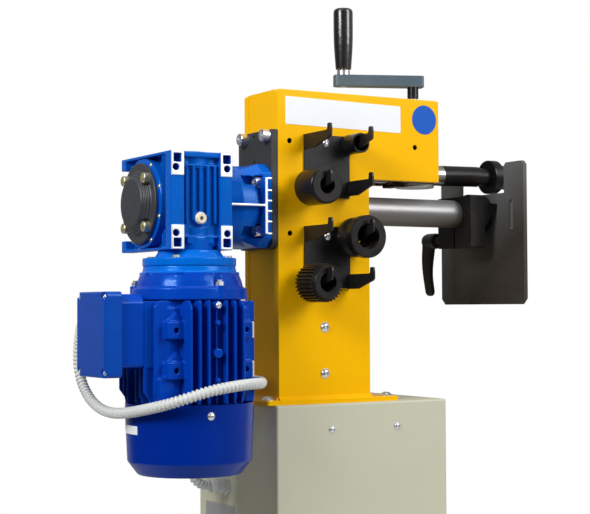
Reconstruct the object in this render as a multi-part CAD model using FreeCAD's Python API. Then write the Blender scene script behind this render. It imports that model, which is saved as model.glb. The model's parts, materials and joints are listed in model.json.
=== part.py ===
import FreeCAD, Part
import math
import os

# Electric beading machine on a floor cabinet.
# All sizes in millimetres. The pieces are drawn in the machine's own working
# coordinates: x = 0 on the left face of the column, +x along the shafts
# towards the forming rolls; y = 0 in the vertical plane of the two shafts,
# -y towards the operator; z = 0 on the axis of the lower shaft. Every piece
# is then moved so that the part's origin is the middle of the underside of
# the floor plate.

# ---- driving dimensions ---------------------------------------------------
SHAFT_HEIGHT = 1056.0      # lower shaft axis above the floor
CAB_X0, CAB_X1 = -12.0, 254.0
CAB_Y0, CAB_Y1 = -60.0, 155.0
CAB_TOP = -256.0
CAB_SHEET = 2.0
FOOT_LX, FOOT_LY, FOOT_T = 420.0, 380.0, 8.0
FOOT_HOLE_DX, FOOT_HOLE_DY, FOOT_HOLE_R = 360.0, 320.0, 6.5

COL_W, COL_D = 140.5, 90.0  # column width (x) and depth (y)
PLATE_T = 10.0              # front and back plates
WEB_T = 8.0                 # plates between them
HEAD_L = 255.6              # head length from the column's left face
HEAD_TOP, HEAD_BOT = 152.0, 39.6
COL_BOT = -250.0
BASE_T = 6.0
BASE_X0, BASE_X1, BASE_YH = -21.5, 181.0, 53.0
BASE_HX0, BASE_HX1, BASE_HY = -11.0, 171.0, 36.0

GB_X, GB_W = -130.0, 85.0   # gearbox centre plane and width
GB_H = 120.0                # gearbox height
GB_Y0, GB_Y1 = -84.5, 60.0  # gearbox front and back faces
WORM_Y = -50.0              # worm and motor axis, behind the front face
MOTOR_X = -130.0
FOOT_PITCH_X, FOOT_PITCH_Z = 70.0, 80.0

TUBE_R, TUBE_RI = 19.5, 14.5
TUBE_X0, TUBE_X1 = 126.0, 350.0
SHAFT_R, ROLL_SEAT_R = 12.5, 11.0
GEAR_M, GEAR_Z, GEAR_W = 2.5, 20, 20.0
AXIS_DIST = GEAR_M * GEAR_Z  # 50, shaft distance at the pivot
PIVOT_X = 47.0              # rear bearing of the upper shaft
TILT = 0.904                # degrees, upper shaft raised at rest
ROLL_X, ROLL_T, ROLL_R = 373.0, 20.0, 24.15
WHEEL_Z = 40                # worm wheel teeth, one-start worm

GUIDE_X, GUIDE_T = 361.0, 6.5
BLOCK_X0, BLOCK_X1 = 314.4, 339.0
SPINDLE_X, SPINDLE_R = 244.5, 7.2
CRANK_R, CRANK_ANG = 98.5, 157.4  # crank length and direction of the grip
CONDUIT_D = 13.5

OX = -(CAB_X0 + CAB_X1) / 2.0
OY = -(CAB_Y0 + CAB_Y1) / 2.0
OZ = SHAFT_HEIGHT

V = FreeCAD.Vector
AX = {"x": V(1, 0, 0), "y": V(0, 1, 0), "z": V(0, 0, 1)}
os.makedirs("parts", exist_ok=True)


# ---- small shape helpers --------------------------------------------------
def box(x0, x1, y0, y1, z0, z1):
    return Part.makeBox(x1 - x0, y1 - y0, z1 - z0, V(x0, y0, z0))


def cyl(ax, a, b, r, lo, hi):
    """Round bar along an axis; a and b are its two other coordinates."""
    if ax == "x":
        p = V(lo, a, b)
    elif ax == "y":
        p = V(a, lo, b)
    else:
        p = V(a, b, lo)
    return Part.makeCylinder(r, hi - lo, p, AX[ax])


def cone(ax, a, b, r0, r1, lo, hi):
    if ax == "x":
        p = V(lo, a, b)
    elif ax == "y":
        p = V(a, lo, b)
    else:
        p = V(a, b, lo)
    return Part.makeCone(r0, r1, hi - lo, p, AX[ax])


def ring(ax, a, b, ro, ri, lo, hi):
    return cyl(ax, a, b, ro, lo, hi).cut(cyl(ax, a, b, ri, lo - 1, hi + 1))


def turned(ax, a, b, prof):
    """Solid of revolution; prof is a closed list of (position, radius)."""
    pts = []
    for s, r in prof:
        if ax == "x":
            pts.append(V(s, a, b + r))
        elif ax == "y":
            pts.append(V(a + r, s, b))
        else:
            pts.append(V(a + r, b, s))
    pts.append(pts[0])
    f = Part.Face(Part.makePolygon(pts))
    c = {"x": V(0, a, b), "y": V(a, 0, b), "z": V(a, b, 0)}[ax]
    s = f.revolve(c, AX[ax], 360)
    return Part.Solid(s) if s.ShapeType != "Solid" else s


def prism(ax, pts, lo, hi):
    """Straight extrusion of a polygon given in the two other coordinates."""
    if ax == "x":
        P = [V(lo, p, q) for p, q in pts]
    elif ax == "y":
        P = [V(p, lo, q) for p, q in pts]
    else:
        P = [V(p, q, lo) for p, q in pts]
    P.append(P[0])
    return Part.Face(Part.makePolygon(P)).extrude(AX[ax] * (hi - lo))


def hexbar(ax, a, b, af, lo, hi, turn=0.0):
    r = af / math.sqrt(3.0)
    pts = [(a + r * math.cos(math.radians(60 * k + turn)),
            b + r * math.sin(math.radians(60 * k + turn))) for k in range(6)]
    return prism(ax, pts, lo, hi)


def along(s, ax):
    """Straight edges of a shape that run along one axis."""
    out = []
    for e in s.Edges:
        if e.Curve.TypeId != "Part::GeomLine":
            continue
        d = (e.Vertexes[1].Point - e.Vertexes[0].Point)
        d.normalize()
        if abs(abs(d.dot(AX[ax])) - 1) < 1e-6:
            out.append(e)
    return out


def soft(s, r, edges):
    """Rounds edges; keeps the sharp shape where a radius does not fit."""
    if not edges:
        return s
    try:
        t = s.makeFillet(r, edges)
        if t.isValid() and t.Solids and abs(t.Volume) > 0.5 * abs(s.Volume):
            return t
    except Exception:
        pass
    return s


def bevel(s, c, edges):
    if not edges:
        return s
    try:
        t = s.makeChamfer(c, edges)
        if t.isValid() and t.Solids and abs(t.Volume) > 0.5 * abs(s.Volume):
            return t
    except Exception:
        pass
    return s


def join(parts):
    s = parts[0]
    for p in parts[1:]:
        s = s.fuse(p)
    return s.removeSplitter()


def less(s, parts):
    for p in parts:
        s = s.cut(p)
    return s


def edges_at(s, test):
    return [e for e in s.Edges if test(e.CenterOfMass)]


def rbox(x0, x1, y0, y1, z0, z1, r, ax):
    s = box(x0, x1, y0, y1, z0, z1)
    return soft(s, r, along(s, ax))


def involute_gear(ax, a, b, m, z, width, lo, thin=0.30, bore=0.0, tip=0.97, root=1.2, phase=0.0):
    """Spur gear with involute flanks; thin is taken off each tooth's width."""
    rp = m * z / 2.0
    rb = rp * math.cos(math.radians(20.0))
    ra = rp + tip * m
    rf = rp - root * m
    inv20 = math.tan(math.radians(20)) - math.radians(20)
    half = (math.pi * m / 2.0 - thin) / (2.0 * rp)

    def ang(r):
        if r <= rb:
            return half + inv20
        al = math.acos(rb / r)
        return half + inv20 - (math.tan(al) - al)
    rs = [max(rb, rf)] + [max(rb, rf) + (ra - max(rb, rf)) * k / 5.0 for k in range(1, 6)]
    pts = []
    for k in range(z):
        c = 2 * math.pi * k / z + phase
        h0 = ang(rs[0])
        pts.append((rf, c - h0 * 1.02))
        for r in rs:
            pts.append((r, c - ang(r)))
        for r in reversed(rs):
            pts.append((r, c + ang(r)))
        pts.append((rf, c + h0 * 1.02))
    clean = []
    for r, t in pts:
        p = (a + r * math.cos(t), b + r * math.sin(t))
        if not clean or math.hypot(p[0] - clean[-1][0], p[1] - clean[-1][1]) > 1e-4:
            clean.append(p)
    s = prism(ax, clean, lo, lo + width)
    if bore:
        s = s.cut(cyl(ax, a, b, bore, lo - 1, lo + width + 1))
    return s


# screws: head stands on a face, pointing along sign*axis
def cap_screw(ax, a, b, face, sign, d, length):
    k = d
    dk = {5: 8.5, 6: 10.0, 8: 13.0, 10: 16.0, 12: 18.0}[d]
    sw = {5: 4, 6: 5, 8: 6, 10: 8, 12: 10}[d]
    lo, hi = (face, face + k) if sign > 0 else (face - k, face)
    h = cyl(ax, a, b, dk / 2.0, lo, hi)
    top = [e for e in h.Edges if abs(getattr(e.CenterOfMass, ax) - (hi if sign > 0 else lo)) < 1e-6
           and e.Curve.TypeId == "Part::GeomCircle"]
    h = bevel(h, 0.6, top)
    if sign > 0:
        h = h.cut(hexbar(ax, a, b, sw, hi - 0.5 * k, hi + 1))
        st = cyl(ax, a, b, d / 2.0, face - length, face + 0.5)
    else:
        h = h.cut(hexbar(ax, a, b, sw, lo - 1, lo + 0.5 * k))
        st = cyl(ax, a, b, d / 2.0, face - 0.5, face + length)
    return h.fuse(st).removeSplitter()


def button_screw(ax, a, b, face, sign, d, length):
    dk = {3: 5.7, 4: 7.6, 5: 9.5, 6: 10.5, 8: 14.0, 10: 17.5}[d]
    k = {3: 1.65, 4: 2.2, 5: 2.75, 6: 3.3, 8: 4.4, 10: 5.5}[d]
    sw = {3: 2, 4: 2.5, 5: 3, 6: 4, 8: 5, 10: 6}[d]
    rh = dk / 2.0
    R = (rh * rh + k * k) / (2 * k)
    n = 8
    prof = [(0.0, 0.0), (0.0, rh), (0.18 * k, rh)]
    for i in range(1, n + 1):
        r = rh * (1 - i / float(n))
        h = k - R + math.sqrt(max(R * R - r * r, 0.0))
        if h > 0.2 * k:
            prof.append((h, r))
    prof = [(face + sign * h, r) for h, r in prof]
    s = turned(ax, a, b, prof)
    if sign > 0:
        s = s.cut(hexbar(ax, a, b, sw, face + 0.45 * k, face + k + 1))
        st = cyl(ax, a, b, d / 2.0, face - length, face + 0.5)
    else:
        s = s.cut(hexbar(ax, a, b, sw, face - k - 1, face - 0.45 * k))
        st = cyl(ax, a, b, d / 2.0, face - 0.5, face + length)
    return s.fuse(st).removeSplitter()


def hex_bolt(ax, a, b, face, sign, d, length, turn=0.0, washer=True):
    af = {5: 8, 6: 10, 8: 13, 10: 17}[d]
    k = {5: 3.5, 6: 4.0, 8: 5.3, 10: 6.4}[d]
    w = 1.6 if washer else 0.0
    parts = []
    f = face + sign * w
    lo, hi = (f, f + k) if sign > 0 else (f - k, f)
    h = hexbar(ax, a, b, af, lo, hi, turn)
    r = af / 2.0 * 1.12
    if sign > 0:
        h = h.common(cone(ax, a, b, r + k * 1.6, r, lo, hi))
    else:
        h = h.common(cone(ax, a, b, r, r + k * 1.6, lo, hi))
    parts.append(h)
    if washer:
        lo2, hi2 = (face, f) if sign > 0 else (f, face)
        parts.append(cyl(ax, a, b, d, lo2, hi2))
    if sign > 0:
        parts.append(cyl(ax, a, b, d / 2.0, face - length, f + 0.5))
    else:
        parts.append(cyl(ax, a, b, d / 2.0, f - 0.5, face + length))
    return join(parts)


PIECES = {}


def out(name, shape):
    """Keeps a finished piece (one solid or a list of solids)."""
    solids = []
    items = shape if isinstance(shape, (list, tuple)) else [shape]
    for s in items:
        for q in s.Solids:
            solids.append(q)
    PIECES[name] = solids


# ---- cabinet and floor plate ----------------------------------------------
cx, cy = (CAB_X0 + CAB_X1) / 2.0, (CAB_Y0 + CAB_Y1) / 2.0
floor = -SHAFT_HEIGHT
cab_z0 = floor + FOOT_T
foot = rbox(cx - FOOT_LX / 2, cx + FOOT_LX / 2, cy - FOOT_LY / 2, cy + FOOT_LY / 2, floor, cab_z0, 18.0, "z")
foot = bevel(foot, 1.0, edges_at(foot, lambda c: abs(c.z - cab_z0) < 1e-6))
foot = less(foot, [cyl("z", cx + sx * FOOT_HOLE_DX / 2, cy + sy * FOOT_HOLE_DY / 2, FOOT_HOLE_R, floor - 1, cab_z0 + 1)
                   for sx in (-1, 1) for sy in (-1, 1)])
out("foot_plate", foot)

cab = box(CAB_X0, CAB_X1, CAB_Y0, CAB_Y1, cab_z0, CAB_TOP)
cab = soft(cab, 3.0, [e for e in cab.Edges
                      if (abs(e.CenterOfMass.y - CAB_Y0) < 1e-6 and
                          (abs(e.CenterOfMass.x - CAB_X0) < 1e-6 or abs(e.CenterOfMass.x - CAB_X1) < 1e-6))
                      or abs(e.CenterOfMass.z - CAB_TOP) < 1e-6])
t = CAB_SHEET
cab = cab.cut(box(CAB_X0 + t, CAB_X1 - t, CAB_Y0 + t, CAB_Y1 - t, cab_z0 + t, CAB_TOP - t))
PAN_X0, PAN_X1, PAN_Z0, PAN_Z1 = CAB_X0 + 4.0, CAB_X1 - 4.0, cab_z0 + 20.0, CAB_TOP - 20.0
cab = cab.cut(box(CAB_X0 + 18, CAB_X1 - 18, CAB_Y1 - t - 1, CAB_Y1 + 1, cab_z0 + 34, CAB_TOP - 34))
GLAND_Y, GLAND_Z = 76.0, -368.0
CSX = (71.0, 173.0)
CSZ = -289.5
cab = less(cab, [cyl("x", GLAND_Y, GLAND_Z, 10.2, CAB_X0 - 1, CAB_X0 + t + 1)]
           + [cyl("y", x, CSZ, 3.3, CAB_Y0 - 1, CAB_Y0 + t + 1) for x in CSX]
           + [cyl("z", x, y, 5.5, CAB_TOP - t - 1, CAB_TOP + 1)
              for x in (BASE_HX0 + 12.5, BASE_HX1) for y in (-BASE_HY, BASE_HY)]
           + [cyl("z", 80.0, 0.0, 18.0, CAB_TOP - t - 1, CAB_TOP + 1)])
dbl = box(CAB_X0 + 8, 216.0, CAB_Y0 + 2.0 + 0.0, 80.0, CAB_TOP - t - 8.0, CAB_TOP - t)
dblf = box(CAB_X0 + 40, 216.0, CAB_Y0 + 2.0, CAB_Y0 + 8.0, CSZ - 14.0, CAB_TOP - t)
dbl = dbl.fuse(dblf).removeSplitter()
dbl = less(dbl, [cyl("z", 80.0, 0.0, 18.0, CAB_TOP - 20, CAB_TOP + 1)]
           + [cyl("z", x, y, 5.0, CAB_TOP - 20, CAB_TOP + 1)
              for x in (BASE_HX0 + 12.5, BASE_HX1) for y in (-BASE_HY, BASE_HY)]
           + [cyl("y", x, CSZ, 3.0, CAB_Y0, CAB_Y0 + 9) for x in CSX])
out("cabinet_body", [cab, dbl])

pan = rbox(PAN_X0, PAN_X1, CAB_Y1, CAB_Y1 + 1.5, PAN_Z0, PAN_Z1, 4.0, "y")
PSC = [(x, z) for x in (PAN_X0 + 8, PAN_X1 - 8) for z in (PAN_Z0 + 12, (PAN_Z0 + PAN_Z1) / 2, PAN_Z1 - 12)]
pan = less(pan, [cyl("y", x, z, 2.6, CAB_Y1 - 1, CAB_Y1 + 3) for x, z in PSC])
for zz in (PAN_Z0 + 60, PAN_Z1 - 120):
    for k in range(6):
        zc = zz + 11.0 * k
        pan = pan.cut(rbox(cx - 42, cx + 42, CAB_Y1 - 1, CAB_Y1 + 3, zc - 2, zc + 2, 1.9, "y"))
out("cabinet_back_panel", pan)

# electrical plate inside, with its rail, contactor and terminals
ep_y = CAB_Y0 + 24.0
epl = [box(20, 222, ep_y, ep_y + 2.0, -760, -420)]
for x in (30, 206):
    for z in (-440, -745):
        epl.append(cyl("y", x, z, 5.0, CAB_Y0 + t, ep_y))
for z in (-500.0, -640.0):
    epl.append(join([box(34, 208, ep_y + 2.0, ep_y + 3.2, z - 17.5, z - 12.5), box(34, 208, ep_y + 2.0, ep_y + 3.2, z + 12.5, z + 17.5),
                     box(34, 208, ep_y + 3.2, ep_y + 9.5, z - 13.7, z - 12.5), box(34, 208, ep_y + 3.2, ep_y + 9.5, z + 12.5, z + 13.7),
                     box(34, 208, ep_y + 8.3, ep_y + 9.5, z - 13.7, z + 13.7)]))
con = rbox(48, 93, ep_y + 9.5, ep_y + 90, -540, -462, 2.0, "y")
con2 = rbox(98, 143, ep_y + 9.5, ep_y + 84, -536, -466, 2.0, "y")
trf = rbox(152, 200, ep_y + 9.5, ep_y + 70, -530, -470, 2.0, "y")
epl += [con, con2, trf]
for k in range(12):
    x = 46 + 8.0 * k
    epl.append(join([box(x, x + 7.2, ep_y + 9.5, ep_y + 44, -662, -618), box(x, x + 7.2, ep_y + 44, ep_y + 50, -652, -628)]))
out("electrics_plate", epl)

# ---- base plate, column and head --------------------------------------------
bp = rbox(BASE_X0, BASE_X1, -BASE_YH, BASE_YH, COL_BOT - BASE_T, COL_BOT, 4.0, "z")
bp = bevel(bp, 0.8, edges_at(bp, lambda c: abs(c.z - COL_BOT) < 1e-6))
BH = [(x, y) for x in (BASE_HX0, BASE_HX1) for y in (-BASE_HY, BASE_HY)]
bp = less(bp, [cyl("z", x, y, 5.5, COL_BOT - BASE_T - 1, COL_BOT + 1) for x, y in BH]
          + [cyl("z", 80.0, 0.0, 18.0, COL_BOT - BASE_T - 1, COL_BOT + 1)])


def gamma(y0, y1):
    pts = [(0, COL_BOT), (COL_W, COL_BOT), (COL_W, HEAD_BOT), (HEAD_L, HEAD_BOT), (HEAD_L, HEAD_TOP), (0, HEAD_TOP)]
    s = prism("y", pts, y0, y1)
    cor = [e for e in along(s, "y")]
    big = [e for e in cor if abs(e.CenterOfMass.z - HEAD_TOP) < 1e-6]
    s = soft(s, 4.0, big)
    low = [e for e in along(s, "y") if abs(e.CenterOfMass.x - HEAD_L) < 1e-6 and abs(e.CenterOfMass.z - HEAD_BOT) < 1e-6]
    s = soft(s, 2.0, low)
    yo = y0 if abs(y0) > abs(y1) else y1
    rim = [e for e in s.Edges if abs(e.CenterOfMass.y - yo) < 1e-6]
    s = soft(s, 0.9, rim)
    return s


RACK_SCREWS = [(71.5, 84.6), (73.0, -37.7)]
COL_SCREWS = [(70.0, -157.0), (70.0, -217.5)]
TAPPED = [(17.8, 85.0), (17.8, -35.0), (215.8, 86.0)]
fp = gamma(-COL_D / 2, -COL_D / 2 + PLATE_T)
fp = less(fp, [cyl("y", x, z, 3.0, -COL_D, 0) for x, z in RACK_SCREWS + TAPPED]
          + [cyl("y", x, z, 4.0, -COL_D, 0) for x, z in COL_SCREWS])
for x, z in TAPPED:
    fp = fp.cut(cone("y", x, z, 4.0, 3.0, -COL_D / 2 - 0.01, -COL_D / 2 + 1.0))
bkp = gamma(COL_D / 2 - PLATE_T, COL_D / 2)
out("column_side_plates", [fp, bkp])

yi = COL_D / 2 - PLATE_T
lp = box(0.8, WEB_T, -yi, yi, COL_BOT, HEAD_TOP - WEB_T)
lp = less(lp, [cyl("x", 0, 0, 21.0, -1, WEB_T + 1)])
ADS = [(25.0, 91.3), (-35.0, 91.3)]
lp = less(lp, [cyl("x", y, z, 5.0, -1, WEB_T + 1) for y, z in ADS if abs(y) < yi - 4])
rp_ = box(COL_W - WEB_T, COL_W, -yi, yi, COL_BOT, HEAD_BOT)
rp_ = rp_.cut(cyl("x", 0, 0, TUBE_R, COL_W - WEB_T - 1, COL_W + 1))
rp_ = rp_.cut(cyl("x", 0, 51.5, 16.4, COL_W - WEB_T - 1, COL_W + 1))
cross = box(52.0, 90.0, -yi, yi, -236.0, -140.0)
cross = less(cross, [cyl("y", x, z, 4.0, -yi - 1, -yi + 14) for x, z in COL_SCREWS] + [cyl("z", 71.0, 0, 14.0, -240, -130)])
out("column_web_plates", [lp, rp_, cross])
tp = box(0.8, HEAD_L - 0.5, -yi, yi, HEAD_TOP - WEB_T, HEAD_TOP)
tp = tp.cut(cyl("z", SPINDLE_X, 0, 9.5, HEAD_TOP - WEB_T - 1, HEAD_TOP + 1))
out("head_top_plate", tp)
out("base_plate", bp)
nut = join([cyl("z", SPINDLE_X, 0, 9.5, HEAD_TOP - WEB_T - 0.5, HEAD_TOP), cyl("z", SPINDLE_X, 0, 10.9, HEAD_TOP - WEB_T - 26.0, HEAD_TOP - WEB_T)])
nut = nut.cut(cyl("z", SPINDLE_X, 0, SPINDLE_R + 0.05, 100, 160))
out("press_nut", nut)

# weld beads: fillet round the foot of the column, seams at the recessed plates
LEG = 4.5


def bead_x(x0, x1, y, z, sy):
    return prism("x", [(y, z), (y + sy * LEG, z), (y, z + LEG)], x0, x1)


def bead_y(y0, y1, x, z, sx):
    return prism("y", [(x, z), (x + sx * LEG, z), (x, z + LEG)], y0, y1)


w1 = bead_x(0, COL_W, -COL_D / 2, COL_BOT, -1)
w2 = bead_x(0, COL_W, COL_D / 2, COL_BOT, 1)
w3 = bead_y(-COL_D / 2, COL_D / 2, COL_W, COL_BOT, 1)
w4 = bead_y(-COL_D / 2, COL_D / 2, 0, COL_BOT, -1)
w4 = less(w4, [cyl("z", BASE_HX0, y, 9.6, COL_BOT - 1, COL_BOT + 12) for y in (-BASE_HY, BASE_HY)])
beads = [w1, w2, w3] + w4.Solids
for sy in (-1, 1):
    for z0, z1 in ((101.0, 112.0), (121.0, 130.0), (-74, -62), (-128, -112), (-190, -176), (-236, -222)):
        s = prism("x", [(sy * yi, z0), (sy * (yi - 3.2), z0), (sy * (yi - 3.2), z1), (sy * yi, z1)], 0.0, 0.8)
        beads.append(s)
out("weld_seams", beads)

# ---- screws on the column, base and cabinet -----------------------------------
bs = []   # round-headed screws and nuts
dk = []   # cap screws and the side cover's small screws
for x, z in COL_SCREWS:
    bs.append(button_screw("y", x, z, -COL_D / 2, -1, 8, 9.0))
for x, z in RACK_SCREWS:
    bs.append(button_screw("y", x, z, -COL_D / 2 - 2.5, -1, 6, 11.0))
for x, y in BH:
    bs.append(button_screw("z", x, y, COL_BOT, 1, 10, 5.5 if x < 0 else 15.0))
for x in CSX:
    bs.append(button_screw("y", x, CSZ, CAB_Y0, -1, 6, 7.0))
for x, z in PSC:
    bs.append(button_screw("y", x, z, CAB_Y1 + 1.5, 1, 5, 1.4))

# ---- adapter plate --------------------------------------------------------------
AD_X0, AD_X1 = -9.0, 0.0
FL_S = [(-38.0, 29.0), (-38.0, -33.0), (38.0, 29.0), (38.0, -33.0)]
ad = box(AD_X0, AD_X1, -COL_D / 2, COL_D / 2, -55.5, 99.0)
ad = soft(ad, 9.0, [e for e in along(ad, "x") if e.CenterOfMass.y > 40 and e.CenterOfMass.z < -50])
ad = soft(ad, 12.0, [e for e in along(ad, "x") if e.CenterOfMass.y < -40 and e.CenterOfMass.z < -50])
ad = soft(ad, 1.2, [e for e in along(ad, "x") if e.CenterOfMass.z > 90])
ad = bevel(ad, 0.6, edges_at(ad, lambda c: abs(c.x - AD_X0) < 1e-6))
ad = less(ad, [cyl("x", 0, 0, 21.0, AD_X0 - 1, AD_X1 + 1)]
          + [cyl("x", y, z, 5.0, AD_X0 - 1, AD_X1 + 1) for y, z in ADS]
          + [cyl("x", y, z, 5.0, AD_X0 - 1, -2.0) for y, z in FL_S]
          + [cyl("x", y, z, 2.0, AD_X0 - 1, AD_X1 + 1) for y, z in ((3.0, 93.5), (1.7, 59.5))])
out("adapter_plate", ad)

# ---- output flange between gearbox and adapter plate ---------------------------
GX0, GX1 = GB_X - GB_W / 2, GB_X + GB_W / 2


def octagon(x, hy, hz, c):
    pts = [(-hy + c, -hz), (hy - c, -hz), (hy, -hz + c), (hy, hz - c), (hy - c, hz), (-hy + c, hz), (-hy, hz - c), (-hy, -hz + c)]
    return Part.Wire(Part.makePolygon([V(x, p, q) for p, q in pts + pts[:1]]))


fl = join([cyl("x", 0, 0, 52.0, GX1 - 3.0, GX1 + 0.5), cone("x", 0, 0, 45.0, 53.0, GX1, -54.0), cyl("x", 0, 0, 53.0, -54.5, -30.0)])
fl = bevel(fl, 3.0, [e for e in fl.Edges if abs(e.CenterOfMass.x + 30.0) < 1e-6 and e.Curve.TypeId == "Part::GeomCircle"])
fl = fl.fuse(Part.makeLoft([octagon(-54.0, 41.0, 42.0, 16.0), octagon(-24.0, 45.0, 54.0, 12.0), octagon(AD_X0, 45.0, 54.0, 12.0)], True, True))
rib = box(GX1, -27.0, -62.0, 62.0, -2.6, 0.4)
fl = fl.fuse(rib)
for y, z in FL_S:
    sy = -1 if y < 0 else 1
    fl = fl.cut(cyl("x", y, z, 9.0, -34.0, -22.0))
    fl = fl.cut(box(-34.0, -22.0, min(y, y + sy * 24.0), max(y, y + sy * 24.0), z - 9.0, z + 9.0))
# side frames with their ribs, machined on the outside
for sy in (-1, 1):
    ya, yb = sorted((sy * 47.6, sy * 62.0))
    rim = box(-28.4, -24.2, ya, yb, -38.3, 34.7)
    rim = soft(rim, 1.5, [e for e in along(rim, "x") if abs(abs(e.CenterOfMass.y) - 62.0) < 0.01])
    fl = fl.fuse(rim)
    ya, yb = sorted((sy * 44.0, sy * 62.0))
    for z in (33.4, 18.0, 4.8, -8.4, -21.8, -37.0):
        fl = fl.fuse(box(-24.6, -18.0, ya, yb, z - 1.25, z + 1.25))
fl = fl.removeSplitter()
fl = less(fl, [cyl("x", 0, 0, 26.0, GX1 - 1, AD_X0 + 1), cyl("x", 0, 0, 27.4, GX1 - 4.0, GX1 + 0.1)]
          + [cyl("x", y, z, 8.7, -50, -22.0) for y, z in FL_S]
          + [cyl("x", y, z, 5.0, -30, AD_X0 + 1) for y, z in FL_S])
out("output_flange", fl)

# ---- worm gearbox ----------------------------------------------------------------
GZ = GB_H / 2
# round wheel chamber, worm chamber in front of it, thin webs above and below
body = join([cyl("x", 0, 0, 57.0, GX0 + 4, GX1 - 3), box(GX0 + 4, GX1 - 3, GB_Y0 + 9.0, -8.0, -GZ + 5, GZ - 5),
             box(GX0 + 6, GX1 - 6, GB_Y0 + 9.0, 46.0, GZ - 11, GZ - 6), box(GX0 + 6, GX1 - 6, GB_Y0 + 9.0, 46.0, -GZ + 6, -GZ + 11)])
parts = [body]
# corner bars along the depth and columns at the front carry the foot pads
bt = 15.0
for x0, x1 in ((GX0, GX0 + 16.5), (GX1 - 16.5, GX1)):
    for z0, z1 in ((-GZ, -GZ + bt), (GZ - bt, GZ)):
        bar = box(x0, x1, GB_Y0 + 1, GB_Y1, z0, z1)
        parts.append(soft(bar, 1.5, [e for e in along(bar, "x") if e.CenterOfMass.y > GB_Y1 - 1]))
for x0, x1 in ((GX0, GX0 + 19.0), (GX1 - 16.5, GX1)):
    parts.append(box(x0, x1, GB_Y0, GB_Y0 + 14, -GZ, GZ))
hs = join(parts)
hs = soft(hs, 1.5, [e for e in along(hs, "z") if abs(e.CenterOfMass.y - GB_Y0) < 0.01 and
                    (abs(e.CenterOfMass.x - GX0) < 0.01 or abs(e.CenterOfMass.x - GX1) < 0.01)])
# round relief and boss for the side cover on both sides
hs = hs.cut(cyl("x", 0, 0, 59.0, GX1 - 3.0, GX1 + 1))
# the cover side is one deep pocket inside a thin frame; the wheel chamber stands free in it
pk = box(GX0 - 1, GX0 + 14.0, GB_Y0 + 14.2, 47.0, -(GZ - 3.2), GZ - 3.2)
pk = soft(pk, 3.0, along(pk, "x"))
hs = hs.cut(pk.cut(cyl("x", 0, 0, 56.4, GX0 + 4.0, GX0 + 15.0)))
# short ribs on the sides between cover and front columns
for xa, xb, zt in ((GX0 + 2.0, GX0 + 15.0, 57.5), (GX1 - 4.0, GX1 - 0.6, 46.0)):
    for y, h in ((-67.0, 0.0), (-62.0, 3.0), (-57.0, 8.0)):
        for s in (-1, 1):
            z0, z1 = sorted((s * ((32.0 if xa < GB_X else 18.0) + h), s * zt))
            hs = hs.fuse(box(xa, xb, y - 1.0, y + 1.0, z0, z1).cut(cyl("x", 0, 0, 59.6, xa - 1, xb + 1)))
# recessed front between the foot columns, with cast ribs
fx0, fx1 = GX0 + 19.0, GX1 - 16.5
hs = hs.fuse(box(fx0, fx1, GB_Y0 + 3.0, GB_Y0 + 16.0, GZ - 6.5, GZ))
hs = hs.fuse(cyl("z", GB_X, WORM_Y, 29.0, 40.0, GZ))
hs = hs.fuse(prism("x", [(GB_Y0 + 10, 45.6), (GB_Y0 + 4.4, 45.0), (GB_Y0 + 4.0, 43.6), (GB_Y0 + 4.4, 42.6), (GB_Y0 + 10, 41.0)], fx0, fx1))
for k, zl in enumerate((-28.0, -24.0, -11.0, -21.0, -28.0)):
    x = GB_X + 1.3 + 9.9 * (k - 2)
    r_ = box(x - 1.6, x + 1.6, GB_Y0 + 3.4, GB_Y0 + 11.0, zl, 43.0)
    hs = hs.fuse(soft(r_, 1.2, [e for e in along(r_, "z") if e.CenterOfMass.y < GB_Y0 + 4]))
hs = hs.fuse(cyl("y", GB_X, -21.4, 9.0, GB_Y0 + 4.0, GB_Y0 + 12.0))
hs = hs.cut(cyl("y", GB_X, -21.4, 8.2, GB_Y0 - 1.0, GB_Y0 + 4.0))
# worm barrel inside the lower front, seen below the ribs
hs = hs.fuse(cyl("z", GB_X, WORM_Y, 28.6, -GZ, -33.0))
hs = hs.fuse(cyl("z", GB_X, WORM_Y, 31.0, -GZ, -GZ + 15.0).common(box(fx0, fx1, GB_Y0 + 1.0, 0, -GZ, GZ)))
hs = hs.fuse(box(fx0, fx1, GB_Y0 + 4.2, GB_Y0 + 11.0, -45.2, -42.6))
for xa in (-147.6, -118.4):
    hs = hs.fuse(box(xa, xa + 7.6, GB_Y0 + 4.6, GB_Y0 + 12.0, -52.5, -44.0))
hs = hs.removeSplitter()
# machined pads, pocketed beside each foot hole
PAD = 0.6
HX = (GB_X - FOOT_PITCH_X / 2, GB_X + FOOT_PITCH_X / 2)
for i, hx in enumerate(HX):
    for s in (-1, 1):
        hz = s * FOOT_PITCH_Z / 2
        px0, px1 = (GX0 + 2.2, GX0 + 18.4) if i == 0 else (GX1 - 16.6, GX1)
        pz0, pz1 = sorted((s * 30.5, s * 59.4))
        hs = hs.fuse(box(px0, px1, GB_Y0 - PAD, GB_Y0 + 2, pz0, pz1))
        hs = hs.cut(cyl("y", hx, hz, 4.25, GB_Y0 - 2, GB_Y0 + 13))
        qx0, qx1 = (px0 + 2.2, px0 + 12.6) if i == 0 else (px1 - 13.0, px1 - 2.6)
        qz0, qz1 = sorted((s * 46.2, s * 56.8))
        hs = hs.cut(box(qx0, qx1, GB_Y0 - 2, GB_Y0 + 11, qz0, qz1))
# pads under and above: four tapped holes each
for s in (-1, 1):
    for hx in HX:
        for hy in (GB_Y0 + 22, GB_Y1 - 20):
            hs = hs.cut(cyl("z", hx + (9 if hx < GB_X else -9), hy, 3.4, s * GZ - 12, s * GZ + 12))
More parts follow.
